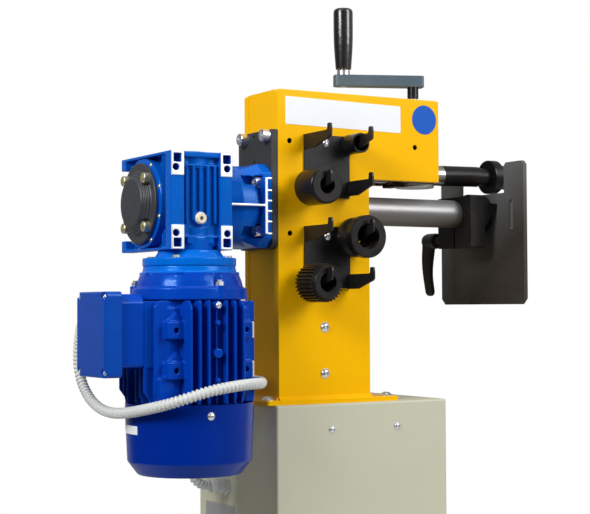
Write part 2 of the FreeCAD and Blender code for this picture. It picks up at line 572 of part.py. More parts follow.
# inside: wheel chamber and worm bore
hs = less(hs, [cyl("x", 0, 0, 44.0, GX0 + 8.0, GX1 - 10.0), cyl("x", 0, 0, 27.0, GX0 - 1, GX1 + 1),
               cyl("z", GB_X, WORM_Y, 20.0, -GZ - 1, GZ - 8), cyl("z", GB_X, WORM_Y, 23.5, GZ - 10, GZ + 1)])
hs = hs.cut(cyl("y", GB_X, -21.4, 5.0, GB_Y0, GB_Y0 + 16))
hs = hs.removeSplitter()
out("gearbox_housing", hs)

sc = cyl("x", 0, 0, 50.4, GX0 - 1.0, GX0 + 4.0).fuse(cyl("x", 0, 0, 56.4, GX0 + 1.4, GX0 + 4.0)).cut(cyl("x", 0, 0, 27.0, GX0 - 2, GX0 + 5))
sc = bevel(sc, 0.8, [e for e in sc.Edges if abs(e.CenterOfMass.x - (GX0 + 1.4)) < 1e-6 and e.Curve.TypeId == "Part::GeomCircle" and e.Curve.Radius > 55])
SCS = [(53.6 * math.cos(math.radians(a)), 53.6 * math.sin(math.radians(a))) for a in (20, 60, 120, 160, 200, 240, 300, 340)]
sc = less(sc, [cyl("x", y, z, 1.6, GX0 - 2, GX0 + 5) for y, z in SCS])
BO = [(sy * 30.05, sz * 30.05) for sy in (-1, 1) for sz in (-1, 1)]
sc = less(sc, [cyl("x", y, z, 4.1, GX0 - 2, GX0 + 5) for y, z in BO])
wcap = turned("z", GB_X, WORM_Y, [(GZ - 1.0, 0), (GZ - 1.0, 23.5), (GZ + 0.6, 23.5), (GZ + 1.4, 22.4), (GZ + 1.4, 6.0), (GZ + 0.6, 5.0), (GZ + 0.6, 0)])
out("gearbox_covers", [sc, wcap])

CX = GX0 - 1.0   # outer face of the side cover
cap = turned("x", 0, 0, [(CX, 0), (CX, 51.0), (CX - 2.2, 51.0), (CX - 3.0, 50.2), (CX - 3.0, 41.0), (CX - 4.2, 39.5),
                         (CX - 6.4, 39.0), (CX - 6.8, 38.2), (CX - 6.8, 36.0), (CX - 9.2, 35.4), (CX - 9.6, 34.6), (CX - 9.6, 32.8),
                         (CX - 12.6, 31.6), (CX - 13.6, 30.2), (CX - 13.8, 28.6), (CX - 13.8, 0)])
for y, z in BO:
    cap = cap.cut(cyl("x", y, z, 9.6, CX - 20, CX - 3.0))
    cap = cap.cut(cyl("x", y, z, 4.2, CX - 20, CX + 1))
cap = cap.cut(cyl("x", 0, 0, 26.5, CX - 9.5, CX + 1))
out("output_end_cap", cap)
out("end_cap_bolts", [cap_screw("x", y, z, CX - 3.0, -1, 8, 7.9) for y, z in BO])

op = join([cyl("y", GB_X, -21.4, 4.9, GB_Y0 + 5.0, GB_Y0 + 14.0), cyl("y", GB_X, -21.4, 7.4, GB_Y0 + 1.5, GB_Y0 + 4.0),
           cone("y", GB_X, -21.4, 5.8, 7.4, GB_Y0 - 0.3, GB_Y0 + 1.5)])
op = op.cut(hexbar("y", GB_X, -21.4, 5.0, GB_Y0 - 1, GB_Y0 + 6))
out("oil_plug", op)

# ---- motor flange and motor ------------------------------------------------------
MZ0 = -80.0
mf = join([cyl("z", MOTOR_X, WORM_Y, 39.0, -70.5, -GZ), cone("z", MOTOR_X, WORM_Y, 44.0, 39.0, -69.6, -62.5), cyl("z", MOTOR_X, WORM_Y, 58.0, MZ0, -69.5)])
mf = bevel(mf, 1.0, [e for e in mf.Edges if e.Curve.TypeId == "Part::GeomCircle" and e.Curve.Radius > 55])
MB = [(MOTOR_X + 50 * math.cos(math.radians(a)), WORM_Y + 50 * math.sin(math.radians(a))) for a in (45, 135, 225, 315)]
mf = less(mf, [cyl("z", MOTOR_X, WORM_Y, 20.0, MZ0 - 1, -GZ + 1)] + [cyl("z", x, y, 3.4, MZ0 - 1, -68) for x, y in MB]
          + [cyl("z", x, y, 6.4, -73.0, -68) for x, y in MB])
out("motor_flange", mf)

fs = turned("z", MOTOR_X, WORM_Y, [(MZ0, 12.5), (MZ0, 57.0), (MZ0 - 6.5, 58.0), (MZ0 - 7.2, 59.4), (MZ0 - 12.0, 62.0), (MZ0 - 18.0, 64.6),
                                   (MZ0 - 24.0, 66.0), (MZ0 - 25.5, 66.4), (MZ0 - 26.6, 70.4), (MZ0 - 27.6, 71.4), (MZ0 - 40.6, 72.4), (MZ0 - 41.0, 72.0),
                                   (MZ0 - 41.0, 50.0), (MZ0 - 31.0, 46.0), (MZ0 - 27.0, 32.0), (MZ0 - 32.0, 30.0), (MZ0 - 32.0, 23.5), (MZ0 - 22.0, 23.5), (MZ0 - 22.0, 12.5)])
NUTS = []
for a in (33.0, 153.0, 273.0):
    # angle measured from the direction the operator's view comes from
    c_, s_ = math.cos(math.radians(a)), math.sin(math.radians(a))
    dx = -0.445 * c_ + 0.895 * s_
    dy = -0.895 * c_ - 0.445 * s_
    NUTS.append((MOTOR_X + 66.6 * dx, WORM_Y + 66.6 * dy))
for x, y in NUTS:
    fs = fs.fuse(cyl("z", x, y, 6.6, MZ0 - 41.0, MZ0 - 24.0))
fs = fs.removeSplitter()
fs = less(fs, [cyl("z", x, y, 3.3, MZ0 - 42.0, MZ0 - 22.0) for x, y in NUTS] + [cyl("z", x, y, 6.8, MZ0 - 24.0, MZ0 - 5.0) for x, y in NUTS])
for a in range(0, 360, 45):
    x, y = MOTOR_X + 60.5 * math.cos(math.radians(a + 8)), WORM_Y + 60.5 * math.sin(math.radians(a + 8))
    g = box(-1.2, 1.2, -6, 6, 0, 12)
    g.rotate(V(0, 0, 0), V(0, 0, 1), a + 8)
    g.translate(V(x, y, MZ0 - 19.0))
    fs = fs.fuse(g)
fs = fs.removeSplitter()
out("motor_front_shield", fs)

FZ1, FZ0 = MZ0 - 41.0, -246.0    # finned frame, top and bottom
R_CORE = 63.5
core = cyl("z", MOTOR_X, WORM_Y, R_CORE, FZ0 - 8, FZ1)
plan = [(-79.0, 36.0), (-62.0, 58.0), (-36.0, 78.0), (36.0, 78.0), (58.0, 58.0), (72.0, 36.0), (72.0, -34.0), (60.0, -57.0), (36.0, -78.0),
        (-36.0, -78.0), (-60.0, -60.0), (-79.0, -36.0)]
env = prism("z", [(MOTOR_X + x, WORM_Y + y) for x, y in plan], FZ0, FZ1 - 1.0)
env = env.common(turned("z", MOTOR_X, WORM_Y, [(FZ1 - 0.5, 0), (FZ1 - 0.5, 79.0), (FZ1 - 13.0, 88.0), (-228.0, 88.0), (-240.0, 80.0), (FZ0 - 0.5, 79.0), (FZ0 - 0.5, 0)]))
fr = core
quarter = [11.8, 23.6, 35.4, 47.0]
fins = []
for o in quarter:
    for s in (-1, 1):
        fins.append(box(MOTOR_X + s * o - 1.3, MOTOR_X + s * o + 1.3, WORM_Y - 90, WORM_Y + 90, FZ0, FZ1 - 1.0))
        fins.append(box(MOTOR_X - 90, MOTOR_X + 90, WORM_Y + s * o - 1.3, WORM_Y + s * o + 1.3, FZ0, FZ1 - 1.0))
fins.append(box(MOTOR_X - 1.0, MOTOR_X + 1.0, WORM_Y - 73.5, WORM_Y + 73.5, FZ0, FZ1 - 8.0))
fins.append(box(MOTOR_X - 70.0, MOTOR_X + 69.0, WORM_Y - 1.0, WORM_Y + 1.0, FZ0, FZ1 - 8.0))
shell = env.cut(cyl("z", MOTOR_X, WORM_Y, R_CORE - 1.0, FZ0 - 1, FZ1))
diag = []
for sx in (-1, 1):
    for sy in (-1, 1):
        diag.append(prism("z", [(MOTOR_X + sx * 49.6, WORM_Y + sy * 36.0), (MOTOR_X + sx * 60.0, WORM_Y + sy * 46.0), (MOTOR_X + sx * 48.0, WORM_Y + sy * 59.0), (MOTOR_X + sx * 36.0, WORM_Y + sy * 49.6)],
                          FZ0, FZ1 - 1.0))
allf = fins[0]
for f_ in fins[1:] + diag:
    allf = allf.fuse(f_)
allf = allf.common(shell)
# the saddle of the terminal box and the foot pads interrupt the fins
SAD = MOTOR_X - 78.3
allf = allf.cut(box(MOTOR_X - 90, MOTOR_X - 40, WORM_Y - 45.5, WORM_Y + 45.5, -203.5, -110))
# clear of fins in front where the foot lugs stand, with a narrow post behind them
for sx in (-1, 1):
    x0, x1 = sorted((MOTOR_X + sx * 37.4, MOTOR_X + sx * 64.0))
    allf = allf.cut(box(x0, x1, WORM_Y - 95, WORM_Y - 49.0, FZ0 - 1, FZ1 + 1))
    x0, x1 = sorted((MOTOR_X + sx * 39.4, MOTOR_X + sx * 53.6))
    allf = allf.fuse(box(x0, x1, WORM_Y - 51.5, WORM_Y - 40.0, FZ0 + 1.0, FZ1 - 10.0))
low = box(MOTOR_X - 66.0, MOTOR_X - 39.4, WORM_Y - 54.0, WORM_Y - 36.0, FZ0 + 1.0, -212.0)
low = soft(low, 5.0, [e for e in along(low, "y") if e.CenterOfMass.z > -213 and e.CenterOfMass.x < MOTOR_X - 60])
allf = allf.fuse(low)
fr = fr.fuse(allf).removeSplitter()
sad = prism("z", [(SAD, WORM_Y - 37.0), (MOTOR_X - 50, WORM_Y - 43.5), (MOTOR_X - 50, WORM_Y + 43.5), (SAD, WORM_Y + 41.0)], -202.0, -122.5)
fr = fr.fuse(sad)
LUG_A, LUG_H = 47.0, 61.0
LUG_Z = (-157.5, -205.5)
for sx in (-1, 1):
    for zc in LUG_Z:
        x0, x1 = sorted((MOTOR_X + sx * (LUG_A - 14.0), MOTOR_X + sx * (LUG_A + 12.0)))
        lg = box(x0, x1, WORM_Y - LUG_H, WORM_Y - 34.0, zc - 10.2, zc + 10.2)
        if sx > 0:
            lg = lg.cut(prism("z", [(x1 - 3.6, WORM_Y - LUG_H), (x1 + 1, WORM_Y - LUG_H), (x1 + 1, WORM_Y - LUG_H + 2.8)], zc - 12, zc + 12))
        lg = soft(lg, 1.2, [e for e in along(lg, "z") if e.CenterOfMass.y < WORM_Y - LUG_H + 0.5 and e.CenterOfMass.x < x0 + 1])
        fr = fr.fuse(lg)
        fr = fr.fuse(prism("y", [(x0 + 3, zc + 10), (x1 - 3, zc + 10), ((x0 + x1) / 2, zc + 22)], WORM_Y - LUG_H + 3, WORM_Y - 40))
for z, r_ in ((-127.6, 5.0), (-148.8, 3.0), (-185.0, 5.8), (-217.4, 3.0)):
    fr = fr.fuse(cyl("y", MOTOR_X + 0.0, z, r_, WORM_Y - 78.5, WORM_Y - 55))
fr = fr.removeSplitter()
fr = less(fr, [cyl("y", MOTOR_X + sx * LUG_A, zc, 3.4, WORM_Y - LUG_H - 1, WORM_Y - LUG_H + 12) for sx in (-1, 1) for zc in LUG_Z])
fr = fr.cut(cyl("y", MOTOR_X, -127.6, 2.0, WORM_Y - 79, WORM_Y - 69))
fr = fr.cut(cyl("z", MOTOR_X, WORM_Y, 57.0, FZ0 - 10, FZ1 + 1))
fr = less(fr, [cyl("x", WORM_Y, -163, 14.0, MOTOR_X - 90, MOTOR_X - 50)])
out("motor_frame", fr)

st = ring("z", MOTOR_X, WORM_Y, 57.0, 38.5, -222.0, -142.0)
win1 = ring("z", MOTOR_X, WORM_Y, 53.0, 41.0, -142.0, -127.0)
win2 = ring("z", MOTOR_X, WORM_Y, 53.0, 41.0, -238.0, -222.0)
st = st.fuse(win1).fuse(win2).removeSplitter()
out("motor_stator", st)

rs_ = turned("z", MOTOR_X, WORM_Y, [(-254.0, 63.5), (-266.0, 62.0), (-270.0, 56.0), (-270.0, 26.0), (-274.0, 24.0), (-274.0, 10.5), (-271.0, 10.5), (-271.0, 20.0),
                                    (-259.0, 20.0), (-259.0, 44.0), (-254.0, 46.0)])

CZ1, CZ0 = -246.5, -334.0
cw = turned("z", MOTOR_X, WORM_Y, [(CZ1, 78.0), (CZ1, 79.6), (-266.0, 79.3), (-316.8, 76.9), (-318.4, 76.2), (-332.8, 65.4), (CZ0, 63.8), (CZ0, 0.0),
                                   (CZ0 + 1.6, 0.0), (CZ0 + 1.6, 62.8), (-318.0, 74.5), (-316.4, 75.2), (-266.0, 77.7)])
holes = []
for rr in (18.0, 28.0, 38.0, 48.0):
    n = 4
    for k in range(n):
        a0 = 90.0 * k + 7.0 + 45.0 * (rr in (28.0, 48.0))
        rg = ring("z", MOTOR_X, WORM_Y, rr + 2.2, rr - 2.2, CZ0 - 1, CZ0 + 3)
        wedge = Part.makeCylinder(80, 6, V(MOTOR_X, WORM_Y, CZ0 - 2), V(0, 0, 1), 76)
        wedge.rotate(V(MOTOR_X, WORM_Y, 0), V(0, 0, 1), a0)
        holes.append(rg.common(wedge))
cw = less(cw, holes)
COWL_S = []
for a in (0.0, 90.0, 180.0, 270.0):
    COWL_S.append(a)


def polar(a, r):
    """Point round the motor; angle 0 faces the operator's view, + to the right."""
    c_, s_ = math.cos(math.radians(a)), math.sin(math.radians(a))
    return MOTOR_X + r * (-0.445 * c_ + 0.895 * s_), WORM_Y + r * (-0.895 * c_ - 0.445 * s_), (-0.445 * c_ + 0.895 * s_, -0.895 * c_ - 0.445 * s_)


cs = []
for a in (18.5, 108.5, 198.5, 288.5):
    x, y, d = polar(a, 79.62)
    b_ = button_screw("x", 0, 0, 0, 1, 5, 12.0)
    b_.rotate(V(0, 0, 0), V(0, 0, 1), math.degrees(math.atan2(d[1], d[0])))
    b_.translate(V(x, y, -259.5))
    cs.append(b_)
    hh = Part.makeCylinder(2.9, 24, V(MOTOR_X, WORM_Y, -259.5) + V(d[0], d[1], 0) * 60, V(d[0], d[1], 0))
    cw = cw.cut(hh)
out("fan_cowl", cw)
for a in (18.5, 108.5, 198.5, 288.5):
    x, y, d = polar(a, 1.0)
    b_ = box(58.0, 77.3, -6.0, 6.0, -265.0, -254.2)
    b_.rotate(V(0, 0, 0), V(0, 0, 1), math.degrees(math.atan2(d[1], d[0])))
    b_.translate(V(MOTOR_X, WORM_Y, 0))
    rs_ = rs_.fuse(b_)
rs_ = rs_.removeSplitter()
for a in (18.5, 108.5, 198.5, 288.5):
    x, y, d = polar(a, 1.0)
    rs_ = rs_.cut(Part.makeCylinder(2.5, 20, V(MOTOR_X, WORM_Y, -259.5) + V(d[0], d[1], 0) * 63.0, V(d[0], d[1], 0)))
out("motor_rear_shield", rs_)

# ---- terminal box -----------------------------------------------------------------
TX0, TX1 = -261.5, -239.0
ty0, ty1 = -93.0, -6.0
LZ0, LZ1 = -213.0, -111.0
tb = box(TX1, SAD, -87.0, -9.0, -202.0, -114.0)
tb = bevel(tb, 10.0, [e for e in along(tb, "x") if e.CenterOfMass.y < -80 and e.CenterOfMass.z > -120])
tb = soft(tb, 5.0, [e for e in along(tb, "x") if e.CenterOfMass.y > -20 or e.CenterOfMass.z < -190])
tb = tb.cut(box(TX1 - 1, SAD - 4.0, -83.5, -12.5, -198.5, -127.0))
tb = tb.cut(box(TX1 - 1, SAD - 4.0, -73.0, -12.5, -128.0, -117.5))
tb = tb.cut(cyl("x", WORM_Y, -163, 14.0, MOTOR_X - 90, MOTOR_X - 70))
TG_X, TG_Z = -224.5, -131.0
tb = tb.cut(cyl("y", TG_X, TG_Z, 9.9, -16, -5))
tb = tb.removeSplitter()
out("terminal_box", tb)
ld = box(TX0, TX1, ty0, ty1, LZ0, LZ1)
ld = soft(ld, 6.0, along(ld, "x"))
ld = soft(ld, 2.6, [e for e in ld.Edges if abs(e.CenterOfMass.x - TX0) < 1e-6])
ld = ld.cut(box(TX0 + 3.0, TX1 + 1, ty0 + 3.5, ty1 - 3.5, LZ0 + 3.5, LZ1 - 3.5))
LS = [(y, z) for y in (ty0 + 6.5, ty1 - 6.5) for z in (LZ0 + 6.5, LZ1 - 6.5)]
for y, z in LS:
    ld = ld.fuse(cyl("x", y, z, 5.2, TX0 + 1, TX1).common(box(TX0, TX1, ty0 + 0.5, ty1 - 0.5, LZ0 + 0.5, LZ1 - 0.5)))
    ld = ld.cut(cyl("x", y, z, 2.3, TX0 - 1, TX1 + 1))
    ld = ld.cut(cyl("x", y, z, 5.0, TX0 - 1, TX0 + 3.2))
    cor = box(TX0 - 1, TX0 + 3.2, y if y > -48 else y - 8, y + 8 if y > -48 else y, z if z > -160 else z - 8, z + 8 if z > -160 else z)
    ld = ld.cut(cor)
ld = ld.removeSplitter()
out("terminal_box_lid", ld)

for y, z in LS:
    bs.append(button_screw("x", y, z, TX0 + 3.2, -1, 4, 19.0))
bs += cs
for x, y in NUTS:
    bs.append(join([hexbar("z", x, y, 9.0, MZ0 - 24.0, MZ0 - 19.5), cyl("z", x, y, 2.9, MZ0 - 40, MZ0 - 17.0)]))
bs.append(button_screw("y", MOTOR_X, -127.6, WORM_Y - 78.5, -1, 4, 8.0))
out("button_screws", bs)
for y, z in SCS:
    dk.append(button_screw("x", y, z, GX0 + 1.4, -1, 3, 2.4))
for y, z in ADS:
    dk.append(cap_screw("x", y, z, AD_X0, -1, 10, 9.0 if y < -30 else 16.5))
for y, z in FL_S:
    dk.append(cap_screw("x", y, z, -22.0, -1, 10, 19.5))
for x, y in MB:
    dk.append(cap_screw("z", x, y, -73.0, 1, 6, 6.9))
out("cap_screws", dk)

# ---- bearings -------------------------------------------------------------------
brg = []
# lower shaft in the left plate and adapter plate
brg.append(ring("x", 0, 0, 21.0, SHAFT_R + 0.05, -3.0, 8.0))
# worm wheel hub in the gearbox side walls
brg.append(ring("x", 0, 0, 27.0, 20.05, GX0 - 1.0 + 0.5, GX0 + 8.0))
brg.append(ring("x", 0, 0, 27.0, 20.05, GX1 - 9.0, GX1))
# worm bearings
brg.append(ring("z", GB_X, WORM_Y, 23.5, 10.05, 50.5, 59.0))
brg.append(ring("z", GB_X, WORM_Y, 20.0, 10.05, -58.0, -46.0))
# motor bearings
brg.append(ring("z", MOTOR_X, WORM_Y, 23.5, 10.05, MZ0 - 32.0, MZ0 - 22.0))
brg.append(ring("z", MOTOR_X, WORM_Y, 20.0, 10.05, -271.0, -259.0))
brg.append(ring("x", 0, 0, TUBE_RI, ROLL_SEAT_R + 0.05, 328.0, TUBE_X1 + 1.5))
out("bearings", brg)

# ---- lower shaft, tube and their pieces ----------------------------------------------
tube = ring("x", 0, 0, TUBE_R, TUBE_RI, TUBE_X0, TUBE_X1)
tube = bevel(tube, 0.8, [e for e in tube.Edges if e.Curve.TypeId == "Part::GeomCircle" and e.Curve.Radius > 19])
out("lower_tube", tube)
ls = join([cyl("x", 0, 0, SHAFT_R, GX0 - 2.0, 326.0), cyl("x", 0, 0, ROLL_SEAT_R, 325.0, 414.0)])
ls = bevel(ls, 1.0, [e for e in ls.Edges if e.Curve.TypeId == "Part::GeomCircle"
                     and (abs(e.CenterOfMass.x - 414.0) < 1e-6 or abs(e.CenterOfMass.x - GX0 + 2.0) < 1e-6)])
# keyway for the rolls
ls = ls.cut(box(370.0, 395.5, -3.0, 3.0, 8.5, 12.0))
out("lower_shaft", ls)
GX_ = 60.0
lg = involute_gear("x", 0, 0, GEAR_M, GEAR_Z, GEAR_W, GX_, bore=SHAFT_R, phase=0.0)
hub = ring("x", 0, 0, 19.0, SHAFT_R, GX_ + GEAR_W, GX_ + GEAR_W + 10)
out("lower_gear", lg.fuse(hub).removeSplitter())

# worm wheel: forty teeth round a bronze rim, straight cut, clear of the worm
wt = []
rw_o, rw_i = 36.4, 32.2
prof = []
for k in range(WHEEL_Z):
    c = 2 * math.pi * (k + 0.5) / WHEEL_Z
    p = 2 * math.pi / WHEEL_Z
    for r, f in ((rw_i, -0.36), (rw_o, -0.17), (rw_o, 0.17), (rw_i, 0.36)):
        prof.append((r * math.cos(c + f * p), r * math.sin(c + f * p)))
wheel = prism("x", prof, GB_X - 11, GB_X + 11)
wheel = wheel.fuse(cyl("x", 0, 0, 20.0, GX0 + 0.5, GX1 - 0.5)).removeSplitter()
wheel = wheel.cut(cyl("x", 0, 0, SHAFT_R, GX0 - 5, GX1 + 5))
out("worm_wheel", wheel)


def roll_shape(x0):
    s = turned("x", 0, 0, [(x0, ROLL_SEAT_R), (x0, 22.6), (x0 + 1.2, ROLL_R), (x0 + 13.6, ROLL_R), (x0 + 15.6, 22.6), (x0 + ROLL_T, 19.6), (x0 + ROLL_T, ROLL_SEAT_R)])
    return s


lr = roll_shape(ROLL_X)
lr = lr.cut(turned("x", 0, 0, [(ROLL_X + 5.0, 25.0), (ROLL_X + 6.4, 21.8), (ROLL_X + 8.6, 21.8), (ROLL_X + 10.0, 25.0)]))
out("lower_roll", lr)


def nut20(x0):
    s = hexbar("x", 0, 0, 30.0, x0, x0 + 12.0, 30.0)
    s = s.common(cone("x", 0, 0, 26.0, 16.3, x0 - 3.0, x0 + 12.0))
    return s.cut(cyl("x", 0, 0, ROLL_SEAT_R, x0 - 1, x0 + 13))


out("lower_roll_fittings", [ring("x", 0, 0, 14.2, ROLL_SEAT_R, TUBE_X1 + 3.0, ROLL_X), ring("x", 0, 0, 17.0, ROLL_SEAT_R, ROLL_X + ROLL_T, ROLL_X + ROLL_T + 3.0),
                            nut20(ROLL_X + ROLL_T + 3.0)])


# ---- upper shaft (drawn level at the gear distance, then tilted about its rear bearing) ---
def lift(s):
    q = s.copy()
    q.translate(V(0, 0, AXIS_DIST))
    q.rotate(V(PIVOT_X, 0, AXIS_DIST), V(0, 1, 0), -TILT)
    return q


us = join([cyl("x", 0, 0, SHAFT_R, 30.0, 256.5), cyl("x", 0, 0, 14.2, 256.0, 290.0), cyl("x", 0, 0, ROLL_SEAT_R, 289.0, 414.0)])
us = bevel(us, 1.0, [e for e in us.Edges if e.Curve.TypeId == "Part::GeomCircle" and abs(e.CenterOfMass.x - 414.0) < 1e-6])
us = us.cut(box(370.0, 395.5, -3.0, 3.0, 8.5, 12.0))
out("upper_shaft", lift(us))
ug = involute_gear("x", 0, 0, GEAR_M, GEAR_Z, GEAR_W, GX_, bore=SHAFT_R, phase=math.pi / GEAR_Z)
uh = ring("x", 0, 0, 19.0, SHAFT_R, GX_ + GEAR_W, GX_ + GEAR_W + 10)
out("upper_gear", lift(ug.fuse(uh).removeSplitter()))
ur = roll_shape(ROLL_X)
out("upper_roll", lift(ur))
slv = turned("x", 0, 0, [(290.0, ROLL_SEAT_R), (290.0, 13.6), (290.8, 14.35), (354.6, 14.35), (355.6, 13.4), (355.6, ROLL_SEAT_R)])
col2 = turned("x", 0, 0, [(355.6, ROLL_SEAT_R), (355.6, 12.6), (ROLL_X, 12.6), (ROLL_X, ROLL_SEAT_R)])
out("upper_roll_fittings", [lift(slv), lift(col2), lift(ring("x", 0, 0, 17.0, ROLL_SEAT_R, ROLL_X + ROLL_T, ROLL_X + ROLL_T + 3.0)),
                            lift(nut20(ROLL_X + ROLL_T + 3.0))])

# rear bearing: a ball-shaped ring on two trunnion pins, which are the tilting axis,
# in a housing fixed between the side plates
RB = 20.0
bp_ = [(PIVOT_X + 9.0 * k / 8.0, math.sqrt(RB * RB - (9.0 * k / 8.0) ** 2)) for k in range(-8, 9)]
ball = turned("x", 0, 0, [(PIVOT_X - 9.0, SHAFT_R + 0.05)] + bp_ + [(PIVOT_X + 9.0, SHAFT_R + 0.05)])
for sy in (-1, 1):
    ball = ball.fuse(cyl("y", PIVOT_X, 0.0, 4.5, *sorted((sy * 18.0, sy * 28.0))))
ball = ball.removeSplitter()
hsg = box(PIVOT_X - 8.5, PIVOT_X + 8.5, -yi, yi, 22.0, 84.0)
hsg = hsg.cut(Part.makeSphere(RB + 0.06, V(PIVOT_X, 0, AXIS_DIST)))
hsg = hsg.cut(cyl("x", 0, AXIS_DIST, 18.2, PIVOT_X - 20, PIVOT_X + 20))
hsg = hsg.cut(cyl("y", PIVOT_X, AXIS_DIST, 4.56, -28.6, 28.6))
out("upper_rear_housing", hsg)

# front bearing block, sliding between the side plates under the spindle
BX0, BX1 = 203.0, 255.0
blk = box(BX0, BX1, -yi + 0.4, yi - 0.4, 39.0, 100.0)
blk = bevel(blk, 1.5, along(blk, "x"))
blk = less(blk, [lift(cyl("x", 0, 0, 14.4, 150, 300)), cyl("z", SPINDLE_X, 0, 9.4, 80.6, 110)])
blk = blk.fuse(box(203.0, 216.6, -16.0, 16.0, 34.2, 39.0)).removeSplitter()
blk = blk.cut(lift(cyl("x", 0, 0, 14.4, 190, 300)))
out("upper_front_block", blk)
fb = lift(ring("x", 0, 0, 14.4, SHAFT_R + 0.05, BX0 + 1.0, BX0 + 20.0))
fb2 = lift(ring("x", 0, 0, 14.4, SHAFT_R + 0.05, BX1 - 20.0, BX1 - 1.0))
out("upper_bearings", [lift(ball), fb, fb2])
fd = cyl("z", SPINDLE_X + 1.5, 0, 27.0, 34.6, 38.6)
fd = bevel(fd, 0.8, [e for e in fd.Edges if abs(e.CenterOfMass.z - 34.6) < 1e-6 and e.Curve.TypeId == "Part::GeomCircle"])
fd = fd.cut(box(200, 216.8, -40, 40, 30, 45))
fd = fd.fuse(box(219.0, 254.0, -26.0, 26.0, 38.4, 39.0)).removeSplitter()
fd = fd.cut(lift(cyl("x", 0, 0, 14.6, 200, 300)))
out("block_foot_disc", fd)
spr = []
for sy in (-1, 1):
    for k in range(7):
        spr.append(Part.makeTorus(5.0, 1.1, V(218.0, sy * 25.0, 104.5 + 5.6 * k), V(0, 0, 1)))
out("lift_springs", spr)
# ---- press spindle, crank and grip --------------------------------------------------
SPX = SPINDLE_X
PAD_Z = 81.1
pad = cyl("z", SPX, 0, 8.3, PAD_Z, PAD_Z + 10.0).cut(cyl("z", SPX, 0, 5.05, PAD_Z + 4.0, PAD_Z + 11.0))
pad = bevel(pad, 0.8, [e for e in pad.Edges if e.Curve.TypeId == "Part::GeomCircle" and e.Curve.Radius > 8])
out("press_pad", pad)
sp = join([cyl("z", SPX, 0, 5.0, PAD_Z + 4.4, PAD_Z + 11.0), cyl("z", SPX, 0, SPINDLE_R, PAD_Z + 10.5, 158.4), cyl("z", SPX, 0, 5.0, 158.0, 190.0)])
gr = []
for k in range(28):
    z = PAD_Z + 12.0 + 2.0 * k
    gr.append(turned("z", SPX, 0, [(z, 7.6), (z + 0.2, 7.6), (z + 0.8, 6.3), (z + 1.2, 6.3), (z + 1.8, 7.6)]))
sp = less(sp, gr)
out("press_spindle", sp)

ca, sa = math.cos(math.radians(CRANK_ANG)), math.sin(math.radians(CRANK_ANG))
AZ0, AZ1 = 175.6, 191.8
arm = box(-14.8, CRANK_R + 14.2, -9.0, 9.0, AZ0, AZ1)
arm = soft(arm, 4.0, [e for e in along(arm, "z") if e.CenterOfMass.x < 0])
arm = soft(arm, 7.0, [e for e in along(arm, "z") if e.CenterOfMass.x > CRANK_R])
arm = soft(arm, 1.2, [e for e in arm.Edges if abs(e.CenterOfMass.z - AZ1) < 1e-6 or abs(e.CenterOfMass.z - AZ0) < 1e-6])
arm = arm.fuse(cyl("z", 0, 0, 7.8, 160.2, AZ0 + 1)).removeSplitter()
arm = arm.cut(cyl("z", 0, 0, 5.0, 159, AZ1 + 1))
arm = arm.cut(cyl("z", CRANK_R, 0, 5.0, AZ0 - 1, AZ1 + 1))
arm.rotate(V(0, 0, 0), V(0, 0, 1), CRANK_ANG)
arm.translate(V(SPX, 0, 0))
out("crank_arm", arm)
gx, gy = SPX + CRANK_R * ca, CRANK_R * sa
pin = join([cyl("z", gx, gy, 5.0, AZ0 + 0.0, AZ1), cyl("z", gx, gy, 9.0, AZ1, 198.6), cyl("z", gx, gy, 5.0, 198.0, 279.0)])
pin = bevel(pin, 0.8, [e for e in pin.Edges if e.Curve.TypeId == "Part::GeomCircle" and abs(e.Curve.Radius - 9.0) < 0.01 and abs(e.CenterOfMass.z - 198.6) < 0.01])
out("crank_grip_pin", pin)
grip = turned("z", gx, gy, [(199.6, 5.06), (199.6, 10.2), (200.4, 10.8), (212.0, 11.7), (224.0, 12.55), (234.0, 13.1), (244.0, 13.4), (256.0, 13.5), (279.2, 13.5),
                            (281.4, 13.1), (283.2, 12.1), (284.4, 10.5), (284.9, 8.4), (285.0, 6.0), (285.0, 0.0), (279.6, 0.0), (279.6, 5.06)])
out("crank_grip", grip)

# ---- depth guide: clamp block on the tube and its plate ------------------------------
BZ0, BZ1 = -48.0, 24.0
YB = 38.8
cb = box(BLOCK_X0, BLOCK_X1, -YB, YB, BZ0, BZ1)
cb = bevel(cb, 1.0, along(cb, "x"))
cb = cb.fuse(cyl("x", 0, 0, 29.0, BLOCK_X1 - 1, GUIDE_X)).removeSplitter()
for sy in (-1, 1):
    y0, y1 = (sy * YB, sy * (YB - 6.0))
    g = prism("y", [(BLOCK_X1 - 0.5, 14.0), (GUIDE_X, 14.0), (GUIDE_X, 9.0), (BLOCK_X1 - 0.5, -20.0)], min(y0, y1), max(y0, y1))
    cb = cb.fuse(g)
cb = cb.removeSplitter()
cb = less(cb, [cyl("x", 0, 0, TUBE_R + 0.06, BLOCK_X0 - 1, GUIDE_X + 1), box(BLOCK_X0 - 1, BLOCK_X1 + 0.0, -1.2, 1.2, BZ0 - 1, -15.0)])
cb = cb.cut(box(BLOCK_X1 - 0.2, GUIDE_X + 1, -1.2, 1.2, -40.0, -15.0))
LV_X, LV_Z = 326.7, -35.4
cb = cb.cut(cyl("y", LV_X, LV_Z, 4.1, -30.0, YB + 1))
GS = [(y, z) for y in (-24.0, 24.0) for z in (-8.0, 8.0)]
GS = [(25.3 * math.cos(math.radians(a)), 24.4 * math.sin(math.radians(a))) for a in (35, 145, 215, 325)]
cb = less(cb, [cyl("x", y, z, 2.5, GUIDE_X - 14, GUIDE_X + 1) for y, z in GS])
NY0, NY1, NZ = -53.8, 47.5, 28.8
PZ0, PZ1, PYH, PYF = -128.2, 71.2, 95.0, -97.0
